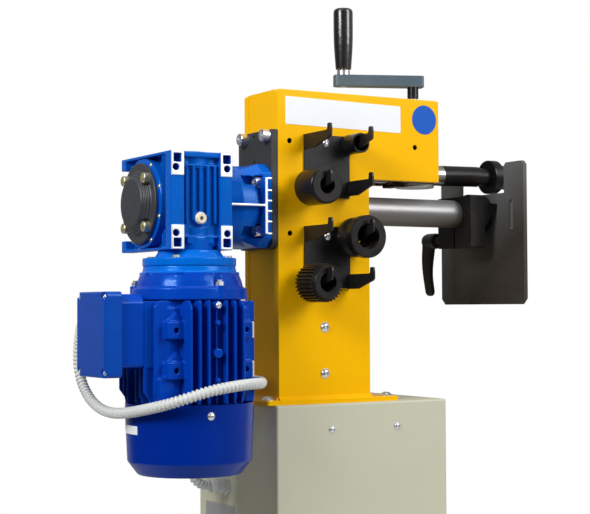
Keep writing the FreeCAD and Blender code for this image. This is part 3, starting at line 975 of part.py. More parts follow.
pl = [(PYF, PZ0 + 8), (PYF + 8, PZ0), (PYH - 8, PZ0), (PYH, PZ0 + 8), (PYH, PZ1 - 6), (PYH - 6, PZ1), (NY1 + 3, PZ1), (NY1, PZ1 - 3), (NY1, NZ), (NY0, NZ), (NY0, PZ1 - 4), (NY0 - 4, PZ1), (PYF + 5, PZ1), (PYF, PZ1 - 5)]
gp = prism("x", pl, GUIDE_X, GUIDE_X + GUIDE_T)
gp = bevel(gp, 0.4, [e for e in gp.Edges if abs(e.CenterOfMass.x - GUIDE_X) < 1e-6 or abs(e.CenterOfMass.x - GUIDE_X - GUIDE_T) < 1e-6])
for sy in (-1, 1):
    sl = box(GUIDE_X - 1, GUIDE_X + GUIDE_T + 1, sy * 69.3 - 3.9, sy * 69.3 + 3.9, -24.0, 19.0)
    gp = gp.cut(soft(sl, 3.8, along(sl, "x")))
gp = less(gp, [cyl("x", 0, 0, TUBE_R + 0.7, GUIDE_X - 1, GUIDE_X + 20)] + [cyl("x", y, z, 2.7, GUIDE_X - 1, GUIDE_X + 20) for y, z in GS])
for y, z in GS:
    gp = gp.cut(cone("x", y, z, 2.6, 4.9, GUIDE_X + GUIDE_T - 2.8, GUIDE_X + GUIDE_T + 0.01))
out("guide_plate", gp)
scr = []
for y, z in GS:
    s = join([cyl("x", y, z, 2.45, GUIDE_X - 12, GUIDE_X + GUIDE_T - 2.0), cone("x", y, z, 2.45, 4.6, GUIDE_X + GUIDE_T - 2.8, GUIDE_X + GUIDE_T - 0.15)])
    scr.append(s.cut(hexbar("x", y, z, 3.0, GUIDE_X + GUIDE_T - 2.0, GUIDE_X + GUIDE_T + 1)))
out("clamp_block", [cb] + scr)

# clamping lever on the far side of the block: steel insert, hub and bent arm
HB0, HB1 = 58.6, 88.0
lv = turned("y", LV_X, LV_Z, [(HB0, 0), (HB0, 10.4), (HB0 + 1.0, 11.1), (HB0 + 3.0, 11.4), (HB0 + 20.0, 11.4), (HB0 + 24.6, 10.4), (HB0 + 27.4, 8.2), (HB0 + 28.8, 5.2), (HB1 - 0.4, 2.6), (HB1 - 0.3, 0)])
lv = lv.cut(ring("y", LV_X, LV_Z, 9.2, 6.2, HB0 - 1, HB0 + 1.6))


def oval(z, y, rx, ry, x=0.0):
    w = Part.Wire([Part.Ellipse(V(0, 0, 0), rx, ry).toShape()])
    w.translate(V(LV_X + x, y, z))
    return w


la = Part.makeLoft([oval(-38.0, 78.6, 10.6, 8.4), oval(-56.0, 81.2, 9.9, 7.5), oval(-72.0, 82.6, 8.8, 6.8), oval(-88.6, 81.4, 7.8, 6.0), oval(-101.0, 78.8, 7.6, 5.8), oval(-108.5, 77.2, 7.5, 5.7)], True, False)
lt = Part.makeLoft([oval(-108.5, 77.2, 7.5, 5.7), oval(-111.6, 76.7, 6.9, 5.2), oval(-113.8, 76.3, 5.6, 4.2), oval(-115.0, 76.1, 3.8, 2.8), oval(-115.5, 76.0, 1.8, 1.3)], True, True)
lv = lv.fuse(la).fuse(lt).removeSplitter()
stud = join([cyl("y", LV_X, LV_Z, 4.0, -29.0, YB + 2.0), cyl("y", LV_X, LV_Z, 5.4, YB + 0.4, HB0 + 2.0)])
lv = lv.fuse(stud).removeSplitter()
out("clamp_lever", lv)

# ---- tool racks on the column's face ------------------------------------------------
RX0, RX1, RT = 38.6, 108.2, 2.5
YF = -COL_D / 2


def rack(z0, z1, za, zb, y_l, y_r, screw):
    """Back plate z0..z1; arms' top edges at za (upper) and zb (lower)."""
    s = box(RX0, RX1, YF - RT, YF, z0, z1)
    arms = []
    for x0, yt in ((RX0, y_l), (RX1 - RT, y_r)):
        for top in (za, zb):
            bot = top - 19.4
            pts = [(YF, top), (yt + 10.0, top), (yt + 9.0, top + 2.0), (yt + 8.6, top + 7.0), (yt + 7.6, top + 8.2), (yt + 2.4, top + 8.2), (yt + 0.6, top + 6.8), (yt, top + 3.0),
                   (yt, top - 7.0), (yt + 3.0, top - 9.2), (YF - 24.6, bot), (YF, bot)]
            arms.append(prism("x", pts, x0, x0 + RT))
    for a in arms:
        s = s.fuse(a)
    s = s.removeSplitter()
    s = soft(s, 2.0, [e for e in along(s, "z") if abs(e.CenterOfMass.y - (YF - RT)) < 0.01 and abs(e.CenterOfMass.x - RX0 - RT) < 0.01])
    x, z = screw
    return s.cut(cyl("y", x, z, 3.2, YF - 20, YF + 1))


out("tool_racks", [rack(12.4, 94.6, 94.6, 35.0, -112.5, -105.5, RACK_SCREWS[0]),
                   rack(-106.0, -25.4, -25.4, -87.6, -113.5, -107.0, RACK_SCREWS[1])])

# rolls kept on the rack arms: each hangs by its bore on the arm's top edge
LA, RA = RX0 + RT / 2, RX1 - RT / 2


def hang(top, r):
    """Height of the centre of a bore of radius r resting on an arm."""
    return top - math.sqrt(r * r - (RT / 2) ** 2) + 0.03


z1_ = hang(35.0, 11.0)
r1 = turned("y", LA, z1_, [(-102.0, 11.0), (-102.0, 21.0), (-101.2, 22.6), (-100.0, 23.4), (-98.0, 23.8), (-59.4, 23.8), (-58.0, 22.8), (-57.6, 21.6), (-57.6, 11.0)])
out("stored_plain_roll", r1)
z2_ = hang(94.6, 11.0)
r2 = turned("y", RA, z2_, [(-78.0, 11.0), (-78.0, 12.4), (-77.4, 13.2), (-49.6, 13.2), (-49.0, 12.6), (-49.0, 11.0)])
out("stored_sleeve", r2)
z3_ = hang(-25.4, 14.2)
r3 = turned("y", RA, z3_, [(-94.0, 16.8), (-94.0, 26.4), (-92.8, 27.9), (-82.4, 27.9), (-80.6, 26.0), (-76.2, 20.6), (-70.6, 20.6), (-66.6, 25.6), (-65.2, 26.2), (-58.0, 26.2), (-56.4, 24.6),
                           (-56.0, 21.0), (-53.0, 20.0), (-53.0, 14.2), (-84.0, 14.2), (-84.0, 16.8)])
out("stored_flanged_roll", r3)
z4_ = hang(-87.6, 12.2)
NT = 30
prof = []
for k in range(NT):
    c = 2 * math.pi * k / NT
    p = 2 * math.pi / NT
    for r, f in ((22.2, -0.34), (24.9, -0.16), (24.9, 0.16), (22.2, 0.34)):
        prof.append((LA + r * math.cos(c + f * p), z4_ + r * math.sin(c + f * p)))
r4 = prism("y", prof, -98.2, -61.4)
r4 = r4.fuse(turned("y", LA, z4_, [(-102.9, 0), (-102.9, 19.0), (-101.6, 20.4), (-98.2, 21.6), (-97, 21.6), (-97, 0)])).removeSplitter()
r4 = r4.cut(cyl("y", LA, z4_, 12.2, -120, -50))
out("stored_knurled_roll", r4)

# ---- motor rotor and fan --------------------------------------------------------------
rot = join([cyl("z", MOTOR_X, WORM_Y, 10.0, -318.0, 58.5), cyl("z", MOTOR_X, WORM_Y, 38.1, -220.0, -144.0)])
wrm = []
for k in range(13):
    z = -36.0 + 5.75 * k + 0.0
    wrm.append(turned("z", MOTOR_X, WORM_Y, [(z - 2.2, 9.5), (z - 0.8, 13.0), (z + 0.8, 13.0), (z + 2.2, 9.5)]))
rot = rot.fuse(wrm[0])
for w_ in wrm[1:]:
    rot = rot.fuse(w_)
rot = rot.removeSplitter()
out("motor_rotor", rot)
fan = join([cyl("z", MOTOR_X, WORM_Y, 17.0, -312.0, -284.0), cyl("z", MOTOR_X, WORM_Y, 64.0, -288.0, -286.0)])
for k in range(8):
    b_ = box(14, 62, -1.0, 1.0, -312.0, -286.5)
    b_.rotate(V(0, 0, 0), V(0, 0, 1), 45.0 * k + 10)
    b_.translate(V(MOTOR_X, WORM_Y, 0))
    fan = fan.fuse(b_)
fan = fan.removeSplitter().cut(cyl("z", MOTOR_X, WORM_Y, 10.0, -330, -270))
out("motor_fan", fan)

# ---- conduit and its glands --------------------------------------------------------------
CG_X = CAB_X0
cg = join([cyl("x", GLAND_Y, GLAND_Z, 10.1, CAB_X0 - 0.5, CAB_X0 + t + 7.0), hexbar("x", GLAND_Y, GLAND_Z, 24.0, CAB_X0 - 5.5, CAB_X0, 30),
           cyl("x", GLAND_Y, GLAND_Z, 10.4, CAB_X0 - 8.0, CAB_X0 - 5.0), turned("x", GLAND_Y, GLAND_Z, [(CAB_X0 - 24.0, 0), (CAB_X0 - 24.0, 9.4), (CAB_X0 - 20.0, 11.4), (CAB_X0 - 8.0, 11.8), (CAB_X0 - 8.0, 0)]),
           hexbar("x", GLAND_Y, GLAND_Z, 24.0, CAB_X0 + t, CAB_X0 + t + 5.0, 0)])
cg = cg.cut(cyl("x", GLAND_Y, GLAND_Z, 5.0, CAB_X0 - 23.0, CAB_X0 + 20))
tgy = -9.0
tg = join([cyl("y", TG_X, TG_Z, 9.8, tgy - 7.0, tgy + 0.5), hexbar("y", TG_X, TG_Z, 22.0, tgy, tgy + 5.0), cyl("y", TG_X, TG_Z, 9.6, tgy + 4.5, tgy + 7.5),
           turned("y", TG_X, TG_Z, [(tgy + 7.0, 0), (tgy + 7.0, 11.0), (tgy + 17.0, 10.6), (tgy + 21.0, 9.0), (tgy + 21.0, 0)]), hexbar("y", TG_X, TG_Z, 20.0, tgy - 7.5, tgy - 3.5, 0)])
tg = tg.cut(cyl("y", TG_X, TG_Z, 5.0, tgy - 20, tgy + 20.0))
out("conduit_glands", [tg, cg])

# The route's points, from the terminal box round the front of the motor, back
# between motor and column, and in a loop down to the cabinet's left side.
ROUTE = [
    (-224.5, 12.0, -131.0), (-224.5, 41.3, -131.0), (-222.7, 67.4, -144.3), (-221.3, 84.6, -168.0),
    (-221.6, 89.1, -197.0), (-220.2, 80.0, -224.8), (-217.1, 59.6, -245.7), (-215.8, 31.5, -256.0),
    (-219.0, -3.0, -258.6), (-221.7, -37.0, -258.3), (-218.5, -69.5, -255.3), (-209.7, -96.7, -250.4),
    (-195.8, -120.1, -244.6), (-177.0, -136.3, -237.0), (-154.8, -144.4, -229.6), (-131.1, -147.8, -225.2),
    (-107.4, -144.9, -223.0), (-87.0, -135.2, -222.4), (-69.5, -120.2, -223.4), (-52.0, -94.0, -223.6),
    (-39.0, -66.0, -223.8), (-29.0, -36.0, -224.5), (-31.6, -4.2, -221.6), (-40.4, 28.2, -218.4),
    (-59.5, 53.8, -215.9), (-81.0, 70.5, -221.5), (-97.5, 81.5, -237.5), (-103.5, 86.5, -260.0),
    (-99.0, 87.0, -284.0), (-87.0, 85.5, -308.0), (-75.0, 82.5, -330.2), (-63.0, 78.6, -352.3),
    (-58.7, 77.4, -359.6), (-52.2, 76.3, -365.1), (-44.2, 76.0, -368.0), (-36.0, 76.0, -368.0)]


def tube_path(pts):
    """Straight runs joined by tangent arcs, as one wire, with its length and radii."""
    P = [V(*p) for p in pts]
    n = len(P)
    edges, radii, length = [], [], 0.0
    start = P[0]
    for i in range(1, n - 1):
        a, b = P[i] - P[i - 1], P[i + 1] - P[i]
        la, lb = a.Length, b.Length
        ua, ub = V(a) / la, V(b) / lb
        turn = math.acos(max(-1.0, min(1.0, ua.dot(ub))))
        cut_ = 0.45 * min(la, lb)
        rad = cut_ / math.tan(turn / 2.0)
        p1, p2 = P[i] - ua * cut_, P[i] + ub * cut_
        bis = (ub - ua)
        bis.normalize()
        centre = P[i] + bis * (rad / math.cos(turn / 2.0))
        dirm = P[i] - centre
        dirm.normalize()
        m = centre + dirm * rad
        edges.append(Part.LineSegment(start, p1).toShape())
        edges.append(Part.Arc(p1, m, p2).toShape())
        length += (p1 - start).Length + rad * turn
        radii.append(rad)
        start = p2
    edges.append(Part.LineSegment(start, P[-1]).toShape())
    length += (P[-1] - start).Length
    return Part.Wire(edges), length, radii


path, path_len, radii = tube_path(ROUTE)
d0 = V(*ROUTE[1]) - V(*ROUTE[0])
prof_e = Part.Circle(V(*ROUTE[0]), d0, CONDUIT_D / 2.0).toShape()
tube_c = path.makePipeShell([Part.Wire([prof_e])], True, True)
out("conduit", tube_c)
print("conduit arc radii, mm:", [round(r, 1) for r in radii])
print("conduit length %.1f mm, volume %.0f, section x length %.0f" % (path_len, tube_c.Volume, path_len * math.pi * CONDUIT_D ** 2 / 4))

# ---- write one file per piece --------------------------------------------------------------
total = 0
for name in PIECES:
    moved = []
    for q in PIECES[name]:
        w = q.copy()
        w.translate(V(OX, OY, OZ))
        moved.append(w)
        if not w.isValid() or w.Volume < 1.0:
            print("BAD SOLID", name, w.isValid(), w.Volume)
    sh = moved[0] if len(moved) == 1 else Part.makeCompound(moved)
    sh.exportStep("parts/%s.step" % name)
    total += 1
print("nodes:", total)
bb = None
for name in PIECES:
    for q in PIECES[name]:
        b_ = q.BoundBox
        if bb is None:
            bb = FreeCAD.BoundBox(b_)
        else:
            bb.add(b_)
print("box x %.1f..%.1f y %.1f..%.1f z %.1f..%.1f" % (bb.XMin + OX, bb.XMax + OX, bb.YMin + OY, bb.YMax + OY, bb.ZMin + OZ, bb.ZMax + OZ))
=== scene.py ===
import bpy
import bmesh
import json
import math
import numpy as np
from mathutils import Matrix, Vector


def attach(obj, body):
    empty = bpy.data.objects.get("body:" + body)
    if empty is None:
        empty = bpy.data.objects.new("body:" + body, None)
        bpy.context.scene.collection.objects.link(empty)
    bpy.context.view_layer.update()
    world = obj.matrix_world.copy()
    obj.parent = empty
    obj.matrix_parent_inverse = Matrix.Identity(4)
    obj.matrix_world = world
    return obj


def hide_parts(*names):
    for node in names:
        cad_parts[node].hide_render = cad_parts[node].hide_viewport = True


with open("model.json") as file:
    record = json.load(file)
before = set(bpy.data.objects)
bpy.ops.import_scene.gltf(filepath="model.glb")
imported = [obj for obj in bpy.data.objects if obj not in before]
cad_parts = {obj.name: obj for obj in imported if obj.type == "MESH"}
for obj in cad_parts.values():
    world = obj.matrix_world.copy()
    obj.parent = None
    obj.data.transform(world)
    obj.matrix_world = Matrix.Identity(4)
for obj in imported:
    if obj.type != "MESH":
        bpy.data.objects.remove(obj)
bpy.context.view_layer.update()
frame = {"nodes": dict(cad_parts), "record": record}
SC = bpy.context.scene
COL = SC.collection
NODES = frame["nodes"]

# Drawing coordinates of the machine in millimetres (x = 0 on the column's left
# face, y = 0 in the plane of the shafts, z = 0 on the lower shaft) to metres
# in the row frame.
OX, OY, OZ = -121.0, -47.5, 1056.0


def P(x, y, z):
    return Vector(((x + OX) / 1000.0, (y + OY) / 1000.0, (z + OZ) / 1000.0))


# ---- camera at the photograph's angle -----------------------------------------
cam_data = bpy.data.cameras.new("camera")
cam = bpy.data.objects.new("camera", cam_data)
COL.objects.link(cam)
FOCAL_PX, WIDE = 1483.43, 590.0
cam_data.sensor_width = 36.0
cam_data.lens = FOCAL_PX * 36.0 / WIDE
cam_data.clip_start, cam_data.clip_end = 0.05, 60.0
yaw, pitch, roll = math.radians(30.51), math.radians(1.92), math.radians(-0.29)
fwd = Vector((math.sin(yaw) * math.cos(pitch), math.cos(yaw) * math.cos(pitch), math.sin(pitch)))
r0 = Vector((math.cos(yaw), -math.sin(yaw), 0.0))
u0 = r0.cross(fwd)
rt = r0 * math.cos(roll) + u0 * math.sin(roll)
up = -r0 * math.sin(roll) + u0 * math.cos(roll)
cm = Matrix.Identity(4)
for i in range(3):
    cm[i][0], cm[i][1], cm[i][2] = rt[i], up[i], -fwd[i]
cm.translation = P(-949.83, -1699.11, -130.09)
cam.matrix_world = cm
SC.camera = cam


# ---- node helpers for materials ---------------------------------------------------
class Nodes:
    """Short way to write a material's node tree."""

    def __init__(self, name):
        self.mat = bpy.data.materials.new(name)
        self.mat.use_nodes = True
        self.t = self.mat.node_tree
        self.b = next(n for n in self.t.nodes if n.type == "BSDF_PRINCIPLED")
        self.co = self.t.nodes.new("ShaderNodeTexCoord").outputs["Object"]

    def new(self, kind, **kw):
        n = self.t.nodes.new(kind)
        for k, v in kw.items():
            setattr(n, k, v)
        return n

    def link(self, a, b):
        self.t.links.new(a, b)

    def set(self, node, name, value):
        s = node.inputs[name]
        if isinstance(value, bpy.types.NodeSocket):
            self.link(value, s)
        else:
            s.default_value = value

    def scaled(self, sx, sy, sz, rot=(0, 0, 0), off=(0, 0, 0)):
        m = self.new("ShaderNodeMapping")
        m.inputs["Scale"].default_value = (sx, sy, sz)
        m.inputs["Rotation"].default_value = rot
        m.inputs["Location"].default_value = off
        self.link(self.co, m.inputs["Vector"])
        return m.outputs["Vector"]

    def noise(self, scale, detail=2.0, rough=0.5, vec=None, dist=0.0):
        n = self.new("ShaderNodeTexNoise")
        n.inputs["Scale"].default_value = scale
        n.inputs["Detail"].default_value = detail
        n.inputs["Roughness"].default_value = rough
        n.inputs["Distortion"].default_value = dist
        self.link(vec if vec is not None else self.co, n.inputs["Vector"])
        return n.outputs["Fac"]

    def voronoi(self, scale, vec=None, feature="F1", out="Distance", rand=1.0):
        n = self.new("ShaderNodeTexVoronoi", feature=feature)
        n.inputs["Scale"].default_value = scale
        n.inputs["Randomness"].default_value = rand
        self.link(vec if vec is not None else self.co, n.inputs["Vector"])
        return n.outputs[out]

    def map(self, x, a, b, c, d, clamp=True):
        n = self.new("ShaderNodeMapRange", clamp=clamp)
        for k, v in zip(("From Min", "From Max", "To Min", "To Max"), (a, b, c, d)):
            n.inputs[k].default_value = v
        self.link(x, n.inputs["Value"])
        return n.outputs["Result"]

    def math(self, op, a, b=None, c=None):
        n = self.new("ShaderNodeMath", operation=op)
        for i, v in enumerate((a, b, c)):
            if v is None:
                continue
            if isinstance(v, bpy.types.NodeSocket):
                self.link(v, n.inputs[i])
            else:
                n.inputs[i].default_value = v
        return n.outputs[0]

    def mix(self, f, a, b, kind="MIX"):
        n = self.new("ShaderNodeMix", data_type="RGBA", blend_type=kind)
        fi, ai, bi = n.inputs[0], n.inputs[6], n.inputs[7]
        for s, v in ((fi, f), (ai, a), (bi, b)):
            if isinstance(v, bpy.types.NodeSocket):
                self.link(v, s)
            elif s is fi:
                s.default_value = v
            else:
                s.default_value = (*v[:3], 1.0)
        return n.outputs[2]

    def bump(self, height, strength=0.2, dist=0.0005, normal=None):
        n = self.new("ShaderNodeBump")
        n.inputs["Strength"].default_value = strength
        n.inputs["Distance"].default_value = dist
        self.link(height, n.inputs["Height"])
        if normal is not None:
            self.link(normal, n.inputs["Normal"])
        return n.outputs["Normal"]

    def sep(self, vec=None):
        n = self.new("ShaderNodeSeparateXYZ")
        self.link(vec if vec is not None else self.co, n.inputs[0])
        return n.outputs

    def done(self, color=None, rough=None, metal=None, normal=None, coat=None, coat_rough=None, spec=None, ior=None, aniso=None, tint=None):
        b = self.b
        for name, v in (("Base Color", color), ("Roughness", rough), ("Metallic", metal)):
            if v is None:
                continue
            if isinstance(v, bpy.types.NodeSocket):
                self.link(v, b.inputs[name])
            elif name == "Base Color":
                b.inputs[name].default_value = (*v[:3], 1.0)
            else:
                b.inputs[name].default_value = v
        if normal is not None:
            self.link(normal, b.inputs["Normal"])
        if coat is not None:
            b.inputs["Coat Weight"].default_value = coat
        if coat_rough is not None:
            b.inputs["Coat Roughness"].default_value = coat_rough
        if spec is not None:
            b.inputs["Specular IOR Level"].default_value = spec
        if ior is not None:
            b.inputs["IOR"].default_value = ior
        if aniso is not None:
            b.inputs["Anisotropic"].default_value = aniso
        if tint is not None:
            b.inputs["Specular Tint"].default_value = (*tint, 1.0)
        return self.mat


def srgb(r, g, b):
    def f(c):
        c /= 255.0
        return c / 12.92 if c <= 0.04045 else ((c + 0.055) / 1.055) ** 2.4
    return (f(r), f(g), f(b))


def paint(name, col, rough=0.28, coat=0.2, peel=0.10, peel_scale=420.0, var=0.06, dust=0.05, cast=0.0, grain=0.0, spec=0.35, tint=None, chips=0.0, cscale=1.0):
    """Sprayed gloss paint: slow colour drift, orange peel, faint dust, and on
    castings the sand texture under the paint."""
    m = Nodes(name)
    slow = m.noise(9.0, 3.0, 0.6)
    fine = m.noise(160.0, 4.0, 0.6)
    lo = tuple(c * (1.0 - var) for c in col)
    hi = tuple(min(c * (1.0 + var) + 0.001, 1.0) for c in col)
    c1 = m.mix(m.map(slow, 0.3, 0.7, 0.0, 1.0), lo, hi)
    specks = m.map(m.noise(950.0, 2.0, 0.6), 0.62, 0.78, 0.0, dust)
    c2 = m.mix(specks, c1, tuple(min(1.0, c * 0.7 + 0.10) for c in col))
    if chips > 0:
        worn = m.map(m.noise(46.0, 6.0, 0.72), 0.665, 0.70, 0.0, chips)
        c2 = m.mix(worn, c2, tuple(c * 0.35 for c in col))
    pe = m.noise(peel_scale, 2.0, 0.5)
    n1 = m.bump(pe, peel, 0.0004)
    if cast > 0:
        sand = m.math("ADD", m.noise(700.0 * cscale, 3.0, 0.65), m.math("MULTIPLY", m.noise(120.0 * cscale, 3.0, 0.5), 0.8))
        n1 = m.bump(sand, cast, 0.0009, n1)
    if grain > 0:
        g = m.noise(2600.0, 2.0, 0.7)
        n1 = m.bump(g, grain, 0.0003, n1)
    r = m.map(fine, 0.25, 0.75, rough * 0.78, rough * 1.28)
    return m.done(color=c2, rough=r, metal=0.0, normal=n1, coat=coat, coat_rough=0.08, spec=spec, tint=tint)


def steel(name, col, rough=0.3, turn=None, scratch=0.12, spots=0.0, spot_col=(0.1, 0.07, 0.05), metal=1.0, coat=0.0, var=0.12):
    """Bare, ground or turned steel. turn is the axis of the turning marks."""
    m = Nodes(name)
    if turn == "x":
        v = m.scaled(2600.0, 18.0, 18.0)
        v2 = m.scaled(420.0, 6.0, 6.0)
    elif turn == "y":
        v = m.scaled(18.0, 2600.0, 18.0)
        v2 = m.scaled(6.0, 420.0, 6.0)
    elif turn == "z":
        v = m.scaled(18.0, 18.0, 2600.0)
        v2 = m.scaled(6.0, 6.0, 420.0)
    else:
        v = m.scaled(900.0, 900.0, 900.0)
        v2 = m.scaled(90.0, 90.0, 90.0)
    a = m.noise(1.0, 3.0, 0.6, v)
    b = m.noise(1.0, 2.0, 0.6, v2)
    slow = m.noise(22.0, 4.0, 0.6)
    lo = tuple(c * (1.0 - var) for c in col)
    hi = tuple(min(1.0, c * (1.0 + var)) for c in col)
    c = m.mix(m.map(m.math("ADD", m.math("MULTIPLY", a, 0.5), m.math("MULTIPLY", slow, 0.5)), 0.35, 0.65, 0.0, 1.0), lo, hi)
    if spots > 0:
        s = m.map(m.noise(70.0, 5.0, 0.7), 0.56, 0.74, 0.0, spots)
        c = m.mix(s, c, spot_col)
    r = m.map(m.math("ADD", m.math("MULTIPLY", b, 0.6), m.math("MULTIPLY", slow, 0.4)), 0.3, 0.7, rough * 0.75, rough * 1.3)
    n = m.bump(a, scratch, 0.00012)
    return m.done(color=c, rough=r, metal=metal, normal=n, coat=coat, coat_rough=0.15)


def oxide(name, col=(0.0095, 0.0097, 0.0106), rough=0.36, metal=0.3, turn=None, wear=0.16, brown=1.0, spec=0.28):
    """Black oxide steel: dark, slightly brown cloudiness, faint machining
    marks and rubbed, lighter patches."""
    m = Nodes(name)
    if turn == "x":
        v = m.scaled(1500.0, 14.0, 14.0)
    elif turn == "y":
        v = m.scaled(14.0, 1500.0, 14.0)
    elif turn == "z":
        v = m.scaled(14.0, 14.0, 1500.0)
    else:
        v = m.scaled(380.0, 380.0, 60.0)
    marks = m.noise(1.0, 3.0, 0.6, v)
    cloud = m.noise(34.0, 5.0, 0.62)
    warm = (col[0] * (1 + 0.9 * brown) + 0.002 * brown, col[1] * (1 + 0.6 * brown) + 0.001 * brown, col[2] * (1 + 0.3 * brown))
    c = m.mix(m.map(cloud, 0.35, 0.7, 0.0, 1.0), col, warm)
    rub = m.math("MULTIPLY", m.map(m.noise(90.0, 4.0, 0.7), 0.55, 0.75, 0.0, 1.0), m.map(marks, 0.45, 0.65, 0.0, wear))
    c = m.mix(rub, c, (0.16, 0.16, 0.165))
    r = m.map(cloud, 0.3, 0.7, rough * 0.8, rough * 1.25)
    n = m.bump(marks, 0.14, 0.00018)
    n = m.bump(m.noise(1300.0, 2.0, 0.6), 0.10, 0.00015, n)
    return m.done(color=c, rough=r, metal=metal, normal=n, spec=spec)


def plate_steel(name):
    """Rolled plate with its mill scale and soft rolling streaks, and painted light and shade: neutral lighter grey
    towards the upper back edge, browner and darker towards the lower front."""
    m = Nodes(name)
    sp_ = m.sep()
    t = m.math("ADD", m.math("MULTIPLY", sp_[1], 3.2), m.math("MULTIPLY", sp_[2], 3.6))
    # painted shade: lighter towards the upper back edge, darker and browner towards the lower front, where less light
    # falls
    g = m.map(t, 3.28, 4.02, 0.0, 1.0)
    streak = m.noise(1.0, 4.0, 0.6, m.scaled(30.0, 30.0, 240.0))
    cloud = m.noise(26.0, 5.0, 0.6)
    c = m.mix(g, (0.036, 0.031, 0.026), (0.225, 0.247, 0.258))
    c = m.mix(m.map(cloud, 0.35, 0.7, 0.0, 0.30), c, (0.055, 0.048, 0.042))
    c = m.mix(m.map(streak, 0.45, 0.8, 0.0, 0.10), c, (0.12, 0.12, 0.118))
    rub = m.map(m.noise(120.0, 5.0, 0.7), 0.68, 0.80, 0.0, 0.22)
    c = m.mix(rub, c, (0.17, 0.17, 0.17))
    n = m.bump(m.noise(900.0, 3.0, 0.6), 0.06, 0.0002)
    return m.done(color=c, rough=m.map(cloud, 0.3, 0.7, 0.42, 0.58), metal=0.15, normal=n, spec=0.35)


def ground_tube(name):
    """Ground tube: fine rings along its length, with a painted highlight on top and darker, warm-toned
    painted shade underneath."""
    m = Nodes(name)
    z = m.sep()[2]
    # painted light and shade: lighter on top, darker and warmer underneath
    g = m.map(z, (OZ - 20.0) / 1000.0, (OZ + 7.0) / 1000.0, 0.0, 1.0)
    c = m.mix(g, (0.075, 0.058, 0.030), (0.31, 0.31, 0.315))
    rings = m.noise(1.0, 3.0, 0.6, m.scaled(2600.0, 18.0, 18.0))
    c = m.mix(m.map(rings, 0.35, 0.65, 0.0, 0.10), c, (0.30, 0.30, 0.30))
    cloud = m.noise(20.0, 4.0, 0.6)
    c = m.mix(m.map(cloud, 0.45, 0.7, 0.0, 0.12), c, (0.20, 0.17, 0.13))
    return m.done(color=c, rough=m.map(cloud, 0.3, 0.7, 0.34, 0.40), metal=0.5, normal=m.bump(rings, 0.02, 0.0001))


def plastic(name, col, rough=0.35, grain=0.08, scale=1500.0, coat=0.0, var=0.05, spec=0.5, coat_rough=0.06):
    m = Nodes(name)
    slow = m.noise(16.0, 3.0, 0.5)
    c = m.mix(m.map(slow, 0.3, 0.7, 0.0, 1.0), tuple(x * (1 - var) for x in col), tuple(min(1, x * (1 + var) + 0.001) for x in col))
    g = m.noise(scale, 2.0, 0.6)
    r = m.map(m.noise(120.0, 3.0, 0.6), 0.3, 0.7, rough * 0.85, rough * 1.2)
    return m.done(color=c, rough=r, metal=0.0, normal=m.bump(g, grain, 0.00015), coat=coat, coat_rough=coat_rough, spec=spec)


YELLOW = srgb(252, 188, 0)
BLUE = srgb(0, 88, 188)
NAVY = srgb(0, 60, 170)
BT = (0.05, 0.42, 1.0)
M = {}
M["yellow"] = paint("yellow_paint", YELLOW, rough=0.34, coat=0.06, peel=0.06, peel_scale=330.0, var=0.035, dust=0.015, spec=0.22, tint=(1.0, 0.78, 0.12))
# near-black, dull finish for the insides of the tapped holes: painted shade
M["yellow_tap"] = oxide("tapped_hole_painted_shade", col=(0.012, 0.010, 0.008), rough=0.6, metal=0.1)
M["blue"] = paint("blue_paint", BLUE, rough=0.22, coat=0.12, peel=0.08, peel_scale=300.0, var=0.10, dust=0.03, cast=0.05, tint=BT)
M["blue_cast"] = paint("blue_paint_cast", BLUE, rough=0.25, coat=0.12, peel=0.08, peel_scale=260.0, var=0.14, dust=0.04, cast=0.14, tint=BT)
# a lighter copy of the blue paint: painted light for the rim under the gearbox
M["blue_ring"] = paint("blue_paint_ring_painted_light", srgb(0, 102, 206), rough=0.25, coat=0.12, peel=0.08, peel_scale=260.0, var=0.12, dust=0.03, cast=0.10, tint=BT)
# darker copies of the blue paint for the motor, the terminal box lid and the fan cowl: painted shade for the lower
# parts, which get less light
M["blue_motor_painted_shade"] = paint("blue_paint_motor_painted_shade", NAVY, rough=0.22, coat=0.14, peel=0.06, peel_scale=260.0, var=0.12, dust=0.03, cast=0.12, tint=BT)
M["blue_lid_painted_shade"] = paint("blue_paint_lid_painted_shade", srgb(6, 66, 164), rough=0.28, coat=0.20, peel=0.08, peel_scale=300.0, var=0.08, dust=0.03, cast=0.05, tint=BT)
M["blue_sheet_painted_shade"] = paint("blue_paint_sheet_painted_shade", srgb(0, 40, 142), rough=0.20, coat=0.18, peel=0.06, peel_scale=240.0, var=0.08, dust=0.03, tint=BT)
M["cabinet"] = paint("cabinet_paint", srgb(197, 197, 175), rough=0.50, coat=0.03, peel=0.14, peel_scale=900.0, var=0.02, dust=0.03, grain=0.14, spec=0.3)
M["black_paint"] = paint("black_paint", (0.0085, 0.0086, 0.0092), rough=0.38, coat=0.08, peel=0.08, peel_scale=700.0, var=0.15, dust=0.03, spec=0.25)
M["adapter"] = paint("dark_grey_paint", (0.036, 0.037, 0.036), rough=0.5, coat=0.05, peel=0.14, peel_scale=800.0, var=0.12, dust=0.08)
# the arm's bluish grey is partly its dark paint and partly painted reflection
M["arm"] = paint("arm_paint_and_painted_reflection", (0.082, 0.127, 0.170), rough=0.36, coat=0.1, peel=0.06, peel_scale=500.0, var=0.12, dust=0.04)
M["oxide"] = oxide("black_oxide")
M["oxide_x"] = oxide("black_oxide_turned_x", turn="x", rough=0.34)
M["oxide_y"] = oxide("black_oxide_turned_y", turn="y", rough=0.32)
